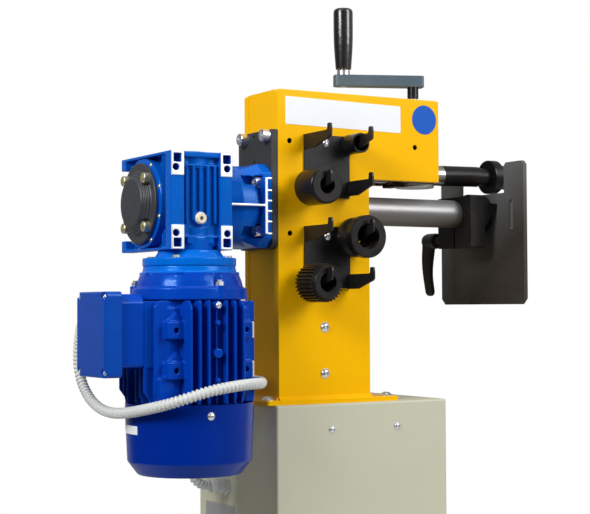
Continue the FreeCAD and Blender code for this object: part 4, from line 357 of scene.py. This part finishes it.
# darker and duller than the rolls' black oxide: painted shade for the insides of the bores
M["bore"] = oxide("black_bore_painted_shade", col=(0.006, 0.006, 0.0065), rough=0.75, metal=0.0, wear=0.0)
M["plate"] = plate_steel("plate_mill_scale_and_painted_shade")
M["slot_edge"] = oxide("slot_edge", col=(0.030, 0.024, 0.020), rough=0.6, metal=0.2, wear=0.02)
M["tube"] = ground_tube("ground_tube")
M["steel_x"] = steel("ground_steel_x", (0.50, 0.49, 0.475), rough=0.24, turn="x", scratch=0.03, var=0.05)
M["steel_z"] = steel("ground_steel_z", (0.55, 0.54, 0.53), rough=0.24, turn="z", scratch=0.05, var=0.06)
M["steel"] = steel("bare_steel", (0.60, 0.59, 0.57), rough=0.34, scratch=0.06, var=0.08)
M["machined"] = steel("machined_pad", (0.86, 0.86, 0.85), rough=0.45, scratch=0.08, metal=0.55, var=0.04)
M["zinc"] = steel("bright_zinc", (0.82, 0.83, 0.85), rough=0.30, scratch=0.008, metal=0.9, var=0.03)
M["yellow_zinc"] = steel("yellow_zinc", (0.74, 0.70, 0.44), rough=0.34, scratch=0.008, metal=0.85, var=0.10)
M["iron"] = oxide("cast_iron_cap", col=(0.046, 0.050, 0.058), rough=0.40, metal=0.15, wear=0.04, brown=0.0, spec=0.5)
M["dark_post"] = oxide("blackened_hub", col=(0.010, 0.010, 0.011), rough=0.22, metal=0.3, wear=0.05, brown=0.2, spec=0.5)
M["bronze"] = steel("bronze", (0.62, 0.40, 0.17), rough=0.32, scratch=0.05)
M["gloss"] = plastic("gloss_black_grip", (0.010, 0.010, 0.011), rough=0.24, grain=0.0015, scale=160.0, coat=0.8, coat_rough=0.14)
M["nylon"] = plastic("black_nylon", (0.016, 0.016, 0.017), rough=0.42, grain=0.14, scale=1900.0)
M["conduit"] = plastic("conduit_pvc", srgb(205, 208, 205), rough=0.42, grain=0.05, scale=900.0)
M["cream"] = plastic("cream_plug", srgb(226, 216, 190), rough=0.4, grain=0.05)
M["electrics"] = plastic("switchgear", srgb(208, 212, 212), rough=0.5, grain=0.06)
M["spring"] = steel("spring_wire", (0.40, 0.40, 0.42), rough=0.35, turn="z")
M["label"] = plastic("blank_label", srgb(234, 238, 242), rough=0.32, grain=0.03, scale=600.0, coat=0.15, var=0.015)
M["disc"] = plastic("blank_disc", srgb(0, 88, 190), rough=0.40, grain=0.03, scale=600.0, coat=0.0, var=0.03, spec=0.15)
M["tag"] = steel("blank_tag", (0.60, 0.61, 0.62), rough=0.42, scratch=0.06, metal=0.6, var=0.05)


def smooth(o, deg=32.0):
    me = o.data
    me.polygons.foreach_set("use_smooth", [True] * len(me.polygons))
    me.set_sharp_from_angle(angle=math.radians(deg))
    me.update()


def give(o, *mats):
    o.data.materials.clear()
    for x in mats:
        o.data.materials.append(x)


CAD_LOOK = {
    "foot_plate": "cabinet", "cabinet_body": "cabinet", "cabinet_back_panel": "cabinet", "electrics_plate": "electrics",
    "column_side_plates": "yellow", "column_web_plates": "yellow", "head_top_plate": "yellow", "base_plate": "yellow", "weld_seams": "yellow",
    "press_nut": "bronze", "adapter_plate": "adapter", "output_flange": "blue_cast", "gearbox_housing": "blue_cast", "gearbox_covers": "blue",
    "output_end_cap": "iron", "end_cap_bolts": "yellow_zinc", "oil_plug": "cream", "motor_flange": "blue_cast", "motor_front_shield": "blue_motor_painted_shade",
    "motor_frame": "blue_motor_painted_shade", "motor_stator": "iron", "motor_rear_shield": "blue_motor_painted_shade", "fan_cowl": "blue_sheet_painted_shade", "terminal_box": "blue_motor_painted_shade",
    "terminal_box_lid": "blue_lid_painted_shade", "bearings": "bronze", "lower_tube": "tube", "upper_rear_housing": "oxide", "tool_racks": "black_paint",
    "stored_plain_roll": "oxide_y", "stored_sleeve": "oxide_y", "stored_flanged_roll": "oxide_y", "stored_knurled_roll": "oxide_y",
    "conduit": "conduit", "conduit_glands": "conduit", "lower_shaft": "steel_x", "lower_gear": "oxide_x", "worm_wheel": "bronze",
    "lower_roll": "oxide_x", "lower_roll_fittings": "oxide_x", "upper_front_block": "oxide", "upper_bearings": "bronze", "block_foot_disc": "steel",
    "lift_springs": "spring", "upper_shaft": "steel_x", "upper_gear": "oxide_x", "upper_roll": "oxide_x", "upper_roll_fittings": "oxide_x",
    "press_pad": "oxide", "press_spindle": "steel_z", "crank_arm": "arm", "crank_grip_pin": "zinc", "crank_grip": "gloss",
    "motor_rotor": "steel_z", "motor_fan": "nylon", "clamp_block": "oxide", "guide_plate": "plate", "clamp_lever": "nylon",
    "button_screws": "zinc", "cap_screws": "zinc",
}
for n_, o_ in NODES.items():
    give(o_, M[CAD_LOOK.get(n_, "zinc")])


def faces_of(me):
    """Centres (drawing millimetres) and normals of a mesh's faces."""
    n = len(me.polygons)
    c = np.empty(n * 3)
    me.polygons.foreach_get("center", c)
    v = np.empty(n * 3)
    me.polygons.foreach_get("normal", v)
    return c.reshape(-1, 3) * 1000.0 - np.array([OX, OY, OZ]), v.reshape(-1, 3)


def face_look(o, mask, mat):
    """Gives the faces picked by the mask another finish."""
    if mat.name not in [m_.name for m_ in o.data.materials if m_]:
        o.data.materials.append(mat)
    k = [m_.name for m_ in o.data.materials].index(mat.name)
    idx = np.zeros(len(o.data.polygons), dtype=np.int32)
    o.data.polygons.foreach_get("material_index", idx)
    idx[mask] = k
    o.data.polygons.foreach_set("material_index", idx)
    o.data.update()


BODY_OF = {n_: b_ for b_, l_ in frame["record"]["behaviour"]["bodies"].items() for n_ in l_}


def stand_for(o, node, mat):
    give(o, mat)
    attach(o, BODY_OF[node])
    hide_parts(node)


def welded(node):
    me = NODES[node].data.copy()
    me.materials.clear()
    bm = bmesh.new()
    bm.from_mesh(me)
    bmesh.ops.remove_doubles(bm, verts=bm.verts, dist=2e-6)
    return me, bm


def casting(node, voxel=0.0008, iters=4, target=60000, mat=None, deg=180):
    """The casting's skin rebuilt with soft, poured edges."""
    me, bm = welded(node)
    bm.to_mesh(me)
    bm.free()
    o = bpy.data.objects.new(node + "_cast", me)
    COL.objects.link(o)
    m1 = o.modifiers.new("skin", "REMESH")
    m1.mode, m1.voxel_size, m1.adaptivity = "VOXEL", voxel, 0.0
    m2 = o.modifiers.new("soft", "SMOOTH")
    m2.factor, m2.iterations = 0.5, iters
    me2 = bpy.data.meshes.new_from_object(o.evaluated_get(bpy.context.evaluated_depsgraph_get()))
    o.modifiers.clear()
    o.data = me2
    m3 = o.modifiers.new("thin", "DECIMATE")
    m3.ratio = min(1.0, target / (2.0 * len(me2.polygons)))
    me3 = bpy.data.meshes.new_from_object(o.evaluated_get(bpy.context.evaluated_depsgraph_get()))
    o.modifiers.clear()
    o.data = me3
    me3.name = node + "_cast"
    me3.materials.clear()
    smooth(o, 60)
    stand_for(o, node, M[mat or CAD_LOOK[node]])
    return o


def edged(node, width=0.0004, seg=2, deg=38.0, mat=None, merge=1.2):
    """The machined or folded piece with its edges broken."""
    me, bm = welded(node)
    bmesh.ops.dissolve_limit(bm, angle_limit=math.radians(merge), verts=bm.verts[:], edges=bm.edges[:])
    bm.normal_update()
    lim = math.radians(deg)
    sharp = [e for e in bm.edges if len(e.link_faces) == 2 and e.calc_face_angle(0.0) > lim and e.calc_length() > width * 1.5]
    bmesh.ops.bevel(bm, geom=sharp, offset=width, offset_type="OFFSET", segments=seg, profile=0.5, affect="EDGES", clamp_overlap=False)
    bm.to_mesh(me)
    bm.free()
    o = bpy.data.objects.new(node + "_edged", me)
    COL.objects.link(o)
    me.name = node + "_edged"
    smooth(o, 34)
    stand_for(o, node, M[mat or CAD_LOOK[node]])
    return o


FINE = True
SHOWN = dict(NODES)
if FINE:
    for n_, v_, i_, t_ in (("gearbox_housing", 0.00070, 4, 90000), ("output_flange", 0.00070, 4, 70000), ("motor_frame", 0.00080, 4, 100000),
                           ("motor_front_shield", 0.00070, 4, 60000), ("motor_rear_shield", 0.0009, 3, 30000), ("motor_flange", 0.0009, 4, 30000),
                           ("terminal_box", 0.0009, 4, 40000), ("terminal_box_lid", 0.0007, 4, 50000), ("output_end_cap", 0.0006, 3, 40000)):
        SHOWN[n_] = casting(n_, v_, i_, t_)

# bare machined faces on the castings
for n_, tests in {
    "gearbox_housing": [lambda c, v: (c[:, 1] < -84.4) & (v[:, 1] < -0.8) & (np.abs(c[:, 2]) > 30.4)],
    "motor_frame": [lambda c, v: (c[:, 1] < -107.5) & (c[:, 0] > -75.0) & (v[:, 0] > 0.3) & (v[:, 1] < -0.5)
                    & ((np.abs(c[:, 2] + 157.5) < 11) | (np.abs(c[:, 2] + 205.5) < 11))],
    "output_flange": [lambda c, v: (np.abs(c[:, 1]) > 61.5) & (np.abs(v[:, 1]) > 0.85)],
}.items():
    o_ = SHOWN[n_]
    c_, v_ = faces_of(o_.data)
    for t_ in tests:
        face_look(o_, t_(c_, v_), M["machined"])

# the walls of the three tapped holes in the front plate are drawn near-black: painted shade inside the holes
o_ = NODES["column_side_plates"]
c_, v_ = faces_of(o_.data)
hole = np.zeros(len(c_), dtype=bool)
for hx, hz in ((17.8, 85.0), (17.8, -35.0), (215.8, 86.0)):
    hole |= (np.hypot(c_[:, 0] - hx, c_[:, 2] - hz) < 3.45) & (c_[:, 1] > -44.6) & (c_[:, 1] < -34.0)
face_look(o_, hole, M["yellow_tap"])

# the rim under the gearbox's flange and the motor flange get a lighter copy of the blue paint: painted light where they
# catch more light
o_ = SHOWN["motor_front_shield"]
c_, v_ = faces_of(o_.data)
face_look(o_, c_[:, 2] > -88.4, M["blue_ring"])
give(SHOWN["motor_flange"], M["blue_ring"])

# the small screws of the side cover are yellow zinc, the crank's hub is blackened, and the bores of the stored rolls
# get a darker, duller black than their oxide: painted shade inside the bores
o_ = NODES["cap_screws"]
c_, v_ = faces_of(o_.data)
face_look(o_, c_[:, 0] < -160.0, M["yellow_zinc"])
o_ = NODES["crank_arm"]
c_, v_ = faces_of(o_.data)
face_look(o_, c_[:, 2] < 175.2, M["dark_post"])
for n_ in ("stored_plain_roll", "stored_sleeve", "stored_flanged_roll", "stored_knurled_roll"):
    o_ = NODES[n_]
    c_, v_ = faces_of(o_.data)
    mid = (c_.min(0) + c_.max(0)) / 2.0
    rad = np.hypot(c_[:, 0] - mid[0], c_[:, 2] - mid[2])
    out_ = (v_[:, 0] * (c_[:, 0] - mid[0]) + v_[:, 2] * (c_[:, 2] - mid[2])) / np.maximum(rad, 1e-6)
    face_look(o_, (out_ < -0.5) & (np.abs(v_[:, 1]) < 0.5), M["bore"])

# ---- the conduit: one smooth line, swept with its ribs ------------------------------
ROUTE = [
    (-224.5, 12.0, -131.0), (-224.5, 41.3, -131.0), (-222.7, 67.4, -144.3), (-221.3, 84.6, -168.0),
    (-221.6, 89.1, -197.0), (-220.2, 80.0, -224.8), (-217.1, 59.6, -245.7), (-215.8, 31.5, -256.0),
    (-219.0, -3.0, -258.6), (-221.7, -37.0, -258.3), (-218.5, -69.5, -255.3), (-209.7, -96.7, -250.4),
    (-195.8, -120.1, -244.6), (-177.0, -136.3, -237.0), (-154.8, -144.4, -229.6), (-131.1, -147.8, -225.2),
    (-107.4, -144.9, -223.0), (-87.0, -135.2, -222.4), (-69.5, -120.2, -223.4), (-52.0, -94.0, -223.6),
    (-39.0, -66.0, -223.8), (-29.0, -36.0, -224.5), (-31.6, -4.2, -221.6), (-40.4, 28.2, -218.4),
    (-59.5, 53.8, -215.9), (-81.0, 70.5, -221.5), (-97.5, 81.5, -237.5), (-103.5, 86.5, -260.0),
    (-99.0, 87.0, -284.0), (-87.0, 85.5, -308.0), (-75.0, 82.5, -330.2), (-63.0, 78.6, -352.3),
    (-58.7, 77.4, -359.6), (-52.2, 76.3, -365.1), (-44.2, 76.0, -368.0), (-36.0, 76.0, -368.0)]
cu = bpy.data.curves.new("conduit_line", "CURVE")
cu.dimensions = "3D"
cu.resolution_u = 40
sp = cu.splines.new("NURBS")
sp.points.add(len(ROUTE) - 1)
for p_, q_ in zip(sp.points, ROUTE):
    p_.co = (*P(*q_), 1.0)
sp.order_u = 3
sp.use_endpoint_u = True
line_ob = bpy.data.objects.new("conduit_line", cu)
COL.objects.link(line_ob)
bpy.context.view_layer.update()
line_me = bpy.data.meshes.new_from_object(line_ob)
line = np.array([v.co[:] for v in line_me.vertices])
bpy.data.objects.remove(line_ob)


def resample(pts, step):
    seg = np.linalg.norm(np.diff(pts, axis=0), axis=1)
    s = np.concatenate([[0], np.cumsum(seg)])
    n = max(2, int(round(s[-1] / step)))
    u = np.linspace(0, s[-1], n + 1)
    return np.stack([np.interp(u, s, pts[:, k]) for k in range(3)], 1), u


def sweep(name, pts, radii, sides=20, caps=True):
    """Tube along points with a radius at each, on a frame that doesn't twist."""
    n = len(pts)
    tan = np.gradient(pts, axis=0)
    tan /= np.linalg.norm(tan, axis=1)[:, None]
    nrm = np.zeros_like(pts)
    a = np.array([0.0, 0.0, 1.0]) if abs(tan[0][2]) < 0.9 else np.array([1.0, 0.0, 0.0])
    v = a - tan[0] * (a @ tan[0])
    nrm[0] = v / np.linalg.norm(v)
    for i in range(1, n):
        v = nrm[i - 1] - tan[i] * (nrm[i - 1] @ tan[i])
        nrm[i] = v / np.linalg.norm(v)
    bi = np.cross(tan, nrm)
    ang = np.linspace(0, 2 * math.pi, sides, endpoint=False)
    verts = (pts[:, None, :] + radii[:, None, None] * (np.cos(ang)[None, :, None] * nrm[:, None, :] + np.sin(ang)[None, :, None] * bi[:, None, :])).reshape(-1, 3)
    faces = []
    for i in range(n - 1):
        for k in range(sides):
            k2 = (k + 1) % sides
            faces.append((i * sides + k, i * sides + k2, (i + 1) * sides + k2, (i + 1) * sides + k))
    if caps:
        faces.append(tuple(reversed(range(sides))))
        faces.append(tuple((n - 1) * sides + k for k in range(sides)))
    me = bpy.data.meshes.new(name)
    me.from_pydata([tuple(v) for v in verts], [], faces)
    me.update()
    bm = bmesh.new()
    bm.from_mesh(me)
    bmesh.ops.recalc_face_normals(bm, faces=bm.faces)
    bm.to_mesh(me)
    bm.free()
    o = bpy.data.objects.new(name, me)
    COL.objects.link(o)
    return o


PITCH = 0.0052
pts_c, s_c = resample(line, PITCH / 11.0)
ph = (s_c / PITCH) % 1.0
prof = 0.5 + 0.5 * np.cos(2 * math.pi * ph)
prof = np.clip((prof - 0.22) / 0.42, 0.0, 1.0)
prof = prof * prof * (3 - 2 * prof)
rad_c = 0.00525 + (0.00672 - 0.00525) * prof
end = np.minimum(s_c, s_c[-1] - s_c)
rad_c = np.where(end < 0.0025, 0.0062, rad_c)
tube = sweep("conduit_ribbed", pts_c, rad_c, sides=22)
smooth(tube, 60)
give(tube, M["conduit"])
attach(tube, "root")
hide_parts("conduit")
CORD_LEN = float(s_c[-1])

# ---- blank labels ---------------------------------------------------------------------
def rounded(w, h, r, n=5):
    pts = []
    for cx_, cy_, a0 in ((w / 2 - r, h / 2 - r, 0), (-w / 2 + r, h / 2 - r, 90), (-w / 2 + r, -h / 2 + r, 180), (w / 2 - r, -h / 2 + r, 270)):
        for i in range(n + 1):
            a = math.radians(a0 + 90.0 * i / n)
            pts.append((cx_ + r * math.cos(a), cy_ + r * math.sin(a)))
    return pts


def sticker(name, outline, place, mat, thick=0.25, lip=0.12):
    """Thin blank label: an outline (u, v) laid on a surface by place(u, v, lift)."""
    bm = bmesh.new()
    rings = []
    cu_ = sum(p[0] for p in outline) / len(outline)
    cv_ = sum(p[1] for p in outline) / len(outline)
    for k, (lift, shrink) in enumerate(((0.0, 0.0), (thick - lip, 0.0), (thick, lip))):
        ring_ = []
        for u, v in outline:
            d = math.hypot(u - cu_, v - cv_) or 1.0
            ring_.append(bm.verts.new(place(u - (u - cu_) / d * shrink, v - (v - cv_) / d * shrink, lift)))
        rings.append(ring_)
    n = len(outline)
    for a, b in zip(rings, rings[1:]):
        for i in range(n):
            bm.faces.new((a[i], a[(i + 1) % n], b[(i + 1) % n], b[i]))
    bm.faces.new(rings[-1])
    bm.faces.new(list(reversed(rings[0])))
    bmesh.ops.recalc_face_normals(bm, faces=bm.faces)
    me = bpy.data.meshes.new(name)
    bm.to_mesh(me)
    bm.free()
    o = bpy.data.objects.new(name, me)
    COL.objects.link(o)
    smooth(o, 30)
    give(o, mat)
    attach(o, "root")
    return o


QUAD = [(11.6, 143.0), (192.0, 140.6), (192.0, 104.2), (11.6, 106.8)]


def on_head(u, v, lift):
    return P(u, -45.0 - lift - 0.02, v)


def band(u, v):
    """Rounded unit square to the label's four corners."""
    a, b = u + 0.5, v + 0.5
    x = QUAD[0][0] + (QUAD[1][0] - QUAD[0][0]) * a
    top_ = QUAD[0][1] + (QUAD[1][1] - QUAD[0][1]) * a
    low_ = QUAD[3][1] + (QUAD[2][1] - QUAD[3][1]) * a
    return x, low_ + (top_ - low_) * b


strip_pts = [band(u / 180.4, v / 36.4) for u, v in rounded(180.4, 36.4, 1.6)]
sticker("blank_head_label", strip_pts, on_head, M["label"], 0.3)
sticker("blank_disc", [(231.2 + 20.0 * math.cos(2 * math.pi * i / 64), 124.6 + 20.0 * math.sin(2 * math.pi * i / 64)) for i in range(64)],
        on_head, M["disc"], 0.3)
sticker("blank_name_plate", rounded(84.0, 50.0, 2.0), lambda u, v, lift: P(-12.0 - lift - 0.02, 95.0 + u, -421.0 + v), M["tag"], 0.6, 0.2)


def on_cowl(u, v, lift):
    z = -277.8 + v
    r = 79.3 + (76.9 - 79.3) * (-266.0 - z) / (316.8 - 266.0) + lift + 0.04
    a = math.radians(168.4) + u / 79.0
    return P(-130.0 + r * math.cos(a), -50.0 + r * math.sin(a), z)


def wrapped(name, w, h, place, mat, nu=28, thick=0.22, lip=0.1):
    """Thin blank label bent round a curved surface."""
    bm = bmesh.new()
    us = [-w / 2 + w * i / nu for i in range(nu + 1)]
    lines = ((-h / 2, 0.0), (-h / 2, thick - lip), (-h / 2 + lip, thick), (h / 2 - lip, thick), (h / 2, thick - lip), (h / 2, 0.0))
    grid = [[bm.verts.new(place(u, v, lift if 0 < i < nu else min(lift, thick - lip))) for v, lift in lines] for i, u in enumerate(us)]
    for a, b in zip(grid, grid[1:]):
        for k in range(len(lines) - 1):
            bm.faces.new((a[k], b[k], b[k + 1], a[k + 1]))
        bm.faces.new((a[-1], b[-1], b[0], a[0]))
    bm.faces.new(grid[0])
    bm.faces.new(list(reversed(grid[-1])))
    bmesh.ops.recalc_face_normals(bm, faces=bm.faces)
    me = bpy.data.meshes.new(name)
    bm.to_mesh(me)
    bm.free()
    o = bpy.data.objects.new(name, me)
    COL.objects.link(o)
    smooth(o, 30)
    give(o, mat)
    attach(o, "root")
    return o


wrapped("blank_cowl_label", 61.8, 10.4, on_cowl, M["label"])


# ---- floor and light ---------------------------------------------------------------------
fl_bm = bmesh.new()
bmesh.ops.create_circle(fl_bm, cap_ends=True, segments=128, radius=1.6)
fl_me = bpy.data.meshes.new("floor")
fl_bm.to_mesh(fl_me)
fl_bm.free()
floor_o = bpy.data.objects.new("floor", fl_me)
COL.objects.link(floor_o)
fm = Nodes("pale_floor")
give(floor_o, fm.done(color=fm.mix(fm.map(fm.noise(1.5, 3.0, 0.5), 0.3, 0.7, 0, 1), (0.55, 0.55, 0.545), (0.59, 0.59, 0.585)), rough=0.7, metal=0.0))

# The backdrop is plain white; the light it gives is brighter from above and
# from the front right than from the left.
world = bpy.data.worlds.new("studio")
SC.world = world
world.use_nodes = True
wt = world.node_tree
bg = wt.nodes["Background"]
tc = wt.nodes.new("ShaderNodeTexCoord")


def wnode(kind, **kw):
    n = wt.nodes.new(kind)
    for k, v in kw.items():
        setattr(n, k, v)
    return n


def toward(vec, a, b, lo, hi):
    d = wnode("ShaderNodeVectorMath", operation="DOT_PRODUCT")
    d.inputs[1].default_value = Vector(vec).normalized()
    wt.links.new(tc.outputs["Generated"], d.inputs[0])
    r = wnode("ShaderNodeMapRange", interpolation_type="SMOOTHSTEP")
    for k, v in (("From Min", a), ("From Max", b), ("To Min", lo), ("To Max", hi)):
        r.inputs[k].default_value = v
    wt.links.new(d.outputs["Value"], r.inputs["Value"])
    return r.outputs["Result"]


def wmath(op, a, b):
    n = wnode("ShaderNodeMath", operation=op)
    for i, v in enumerate((a, b)):
        if isinstance(v, bpy.types.NodeSocket):
            wt.links.new(v, n.inputs[i])
        else:
            n.inputs[i].default_value = v
    return n.outputs[0]


AMB, UPS, SIDE = 0.035, 0.26, 0.28
light_s = wmath("ADD", wmath("ADD", toward((0, 0, 1), -0.15, 1.0, AMB, AMB + UPS), toward((0.80, -0.60, 0.05), 0.0, 1.0, 0.0, SIDE)),
                toward((0.35, 0.93, 0.05), 0.55, 0.95, 0.0, 0.28))
lp_ = wnode("ShaderNodeLightPath")
mixs = wnode("ShaderNodeMix", data_type="FLOAT")
wt.links.new(lp_.outputs["Is Camera Ray"], mixs.inputs[0])
wt.links.new(light_s, mixs.inputs[2])
mixs.inputs[3].default_value = 1.0
wt.links.new(mixs.outputs[0], bg.inputs["Strength"])
bg.inputs["Color"].default_value = (1.0, 1.0, 1.0, 1.0)


def area(name, loc, target, size, power, size_y=None, color=(1, 1, 1)):
    d = bpy.data.lights.new(name, "AREA")
    d.energy = power
    d.size = size
    if size_y:
        d.shape = "RECTANGLE"
        d.size_y = size_y
    d.color = color
    o = bpy.data.objects.new(name, d)
    COL.objects.link(o)
    o.location = loc
    o.rotation_euler = (Vector(target) - Vector(loc)).to_track_quat("-Z", "Y").to_euler()
    return o


sun_d = bpy.data.lights.new("soft_sun", "SUN")
sun_d.energy = 0.72
sun_d.angle = math.radians(24)
sun = bpy.data.objects.new("soft_sun", sun_d)
COL.objects.link(sun)
sun.rotation_euler = (-Vector((0.40, -0.80, 0.66))).to_track_quat("-Z", "Y").to_euler()
area("key_box", (1.30, -2.30, 2.10), (0.0, 0.0, 1.05), 1.3, 33.5, 1.1)
area("left_box", (-2.15, -0.75, 2.15), (-0.1, 0.0, 1.1), 1.0, 52, 0.8)
area("top_box", (0.0, -0.1, 3.1), (0.0, 0.0, 1.0), 1.5, 7, 1.0)
fill = area("warm_fill", (-1.30, 0.90, 1.35), (-0.08, 0.0, 1.02), 0.6, 0.42, 0.6, (1.0, 0.84, 0.66))
fill.data.spread = math.radians(70)
fill.visible_glossy = False
SC.view_settings.view_transform = "Standard"
SC.view_settings.look = "None"
SC.view_settings.exposure = 0.0
SC.view_settings.gamma = 1.0
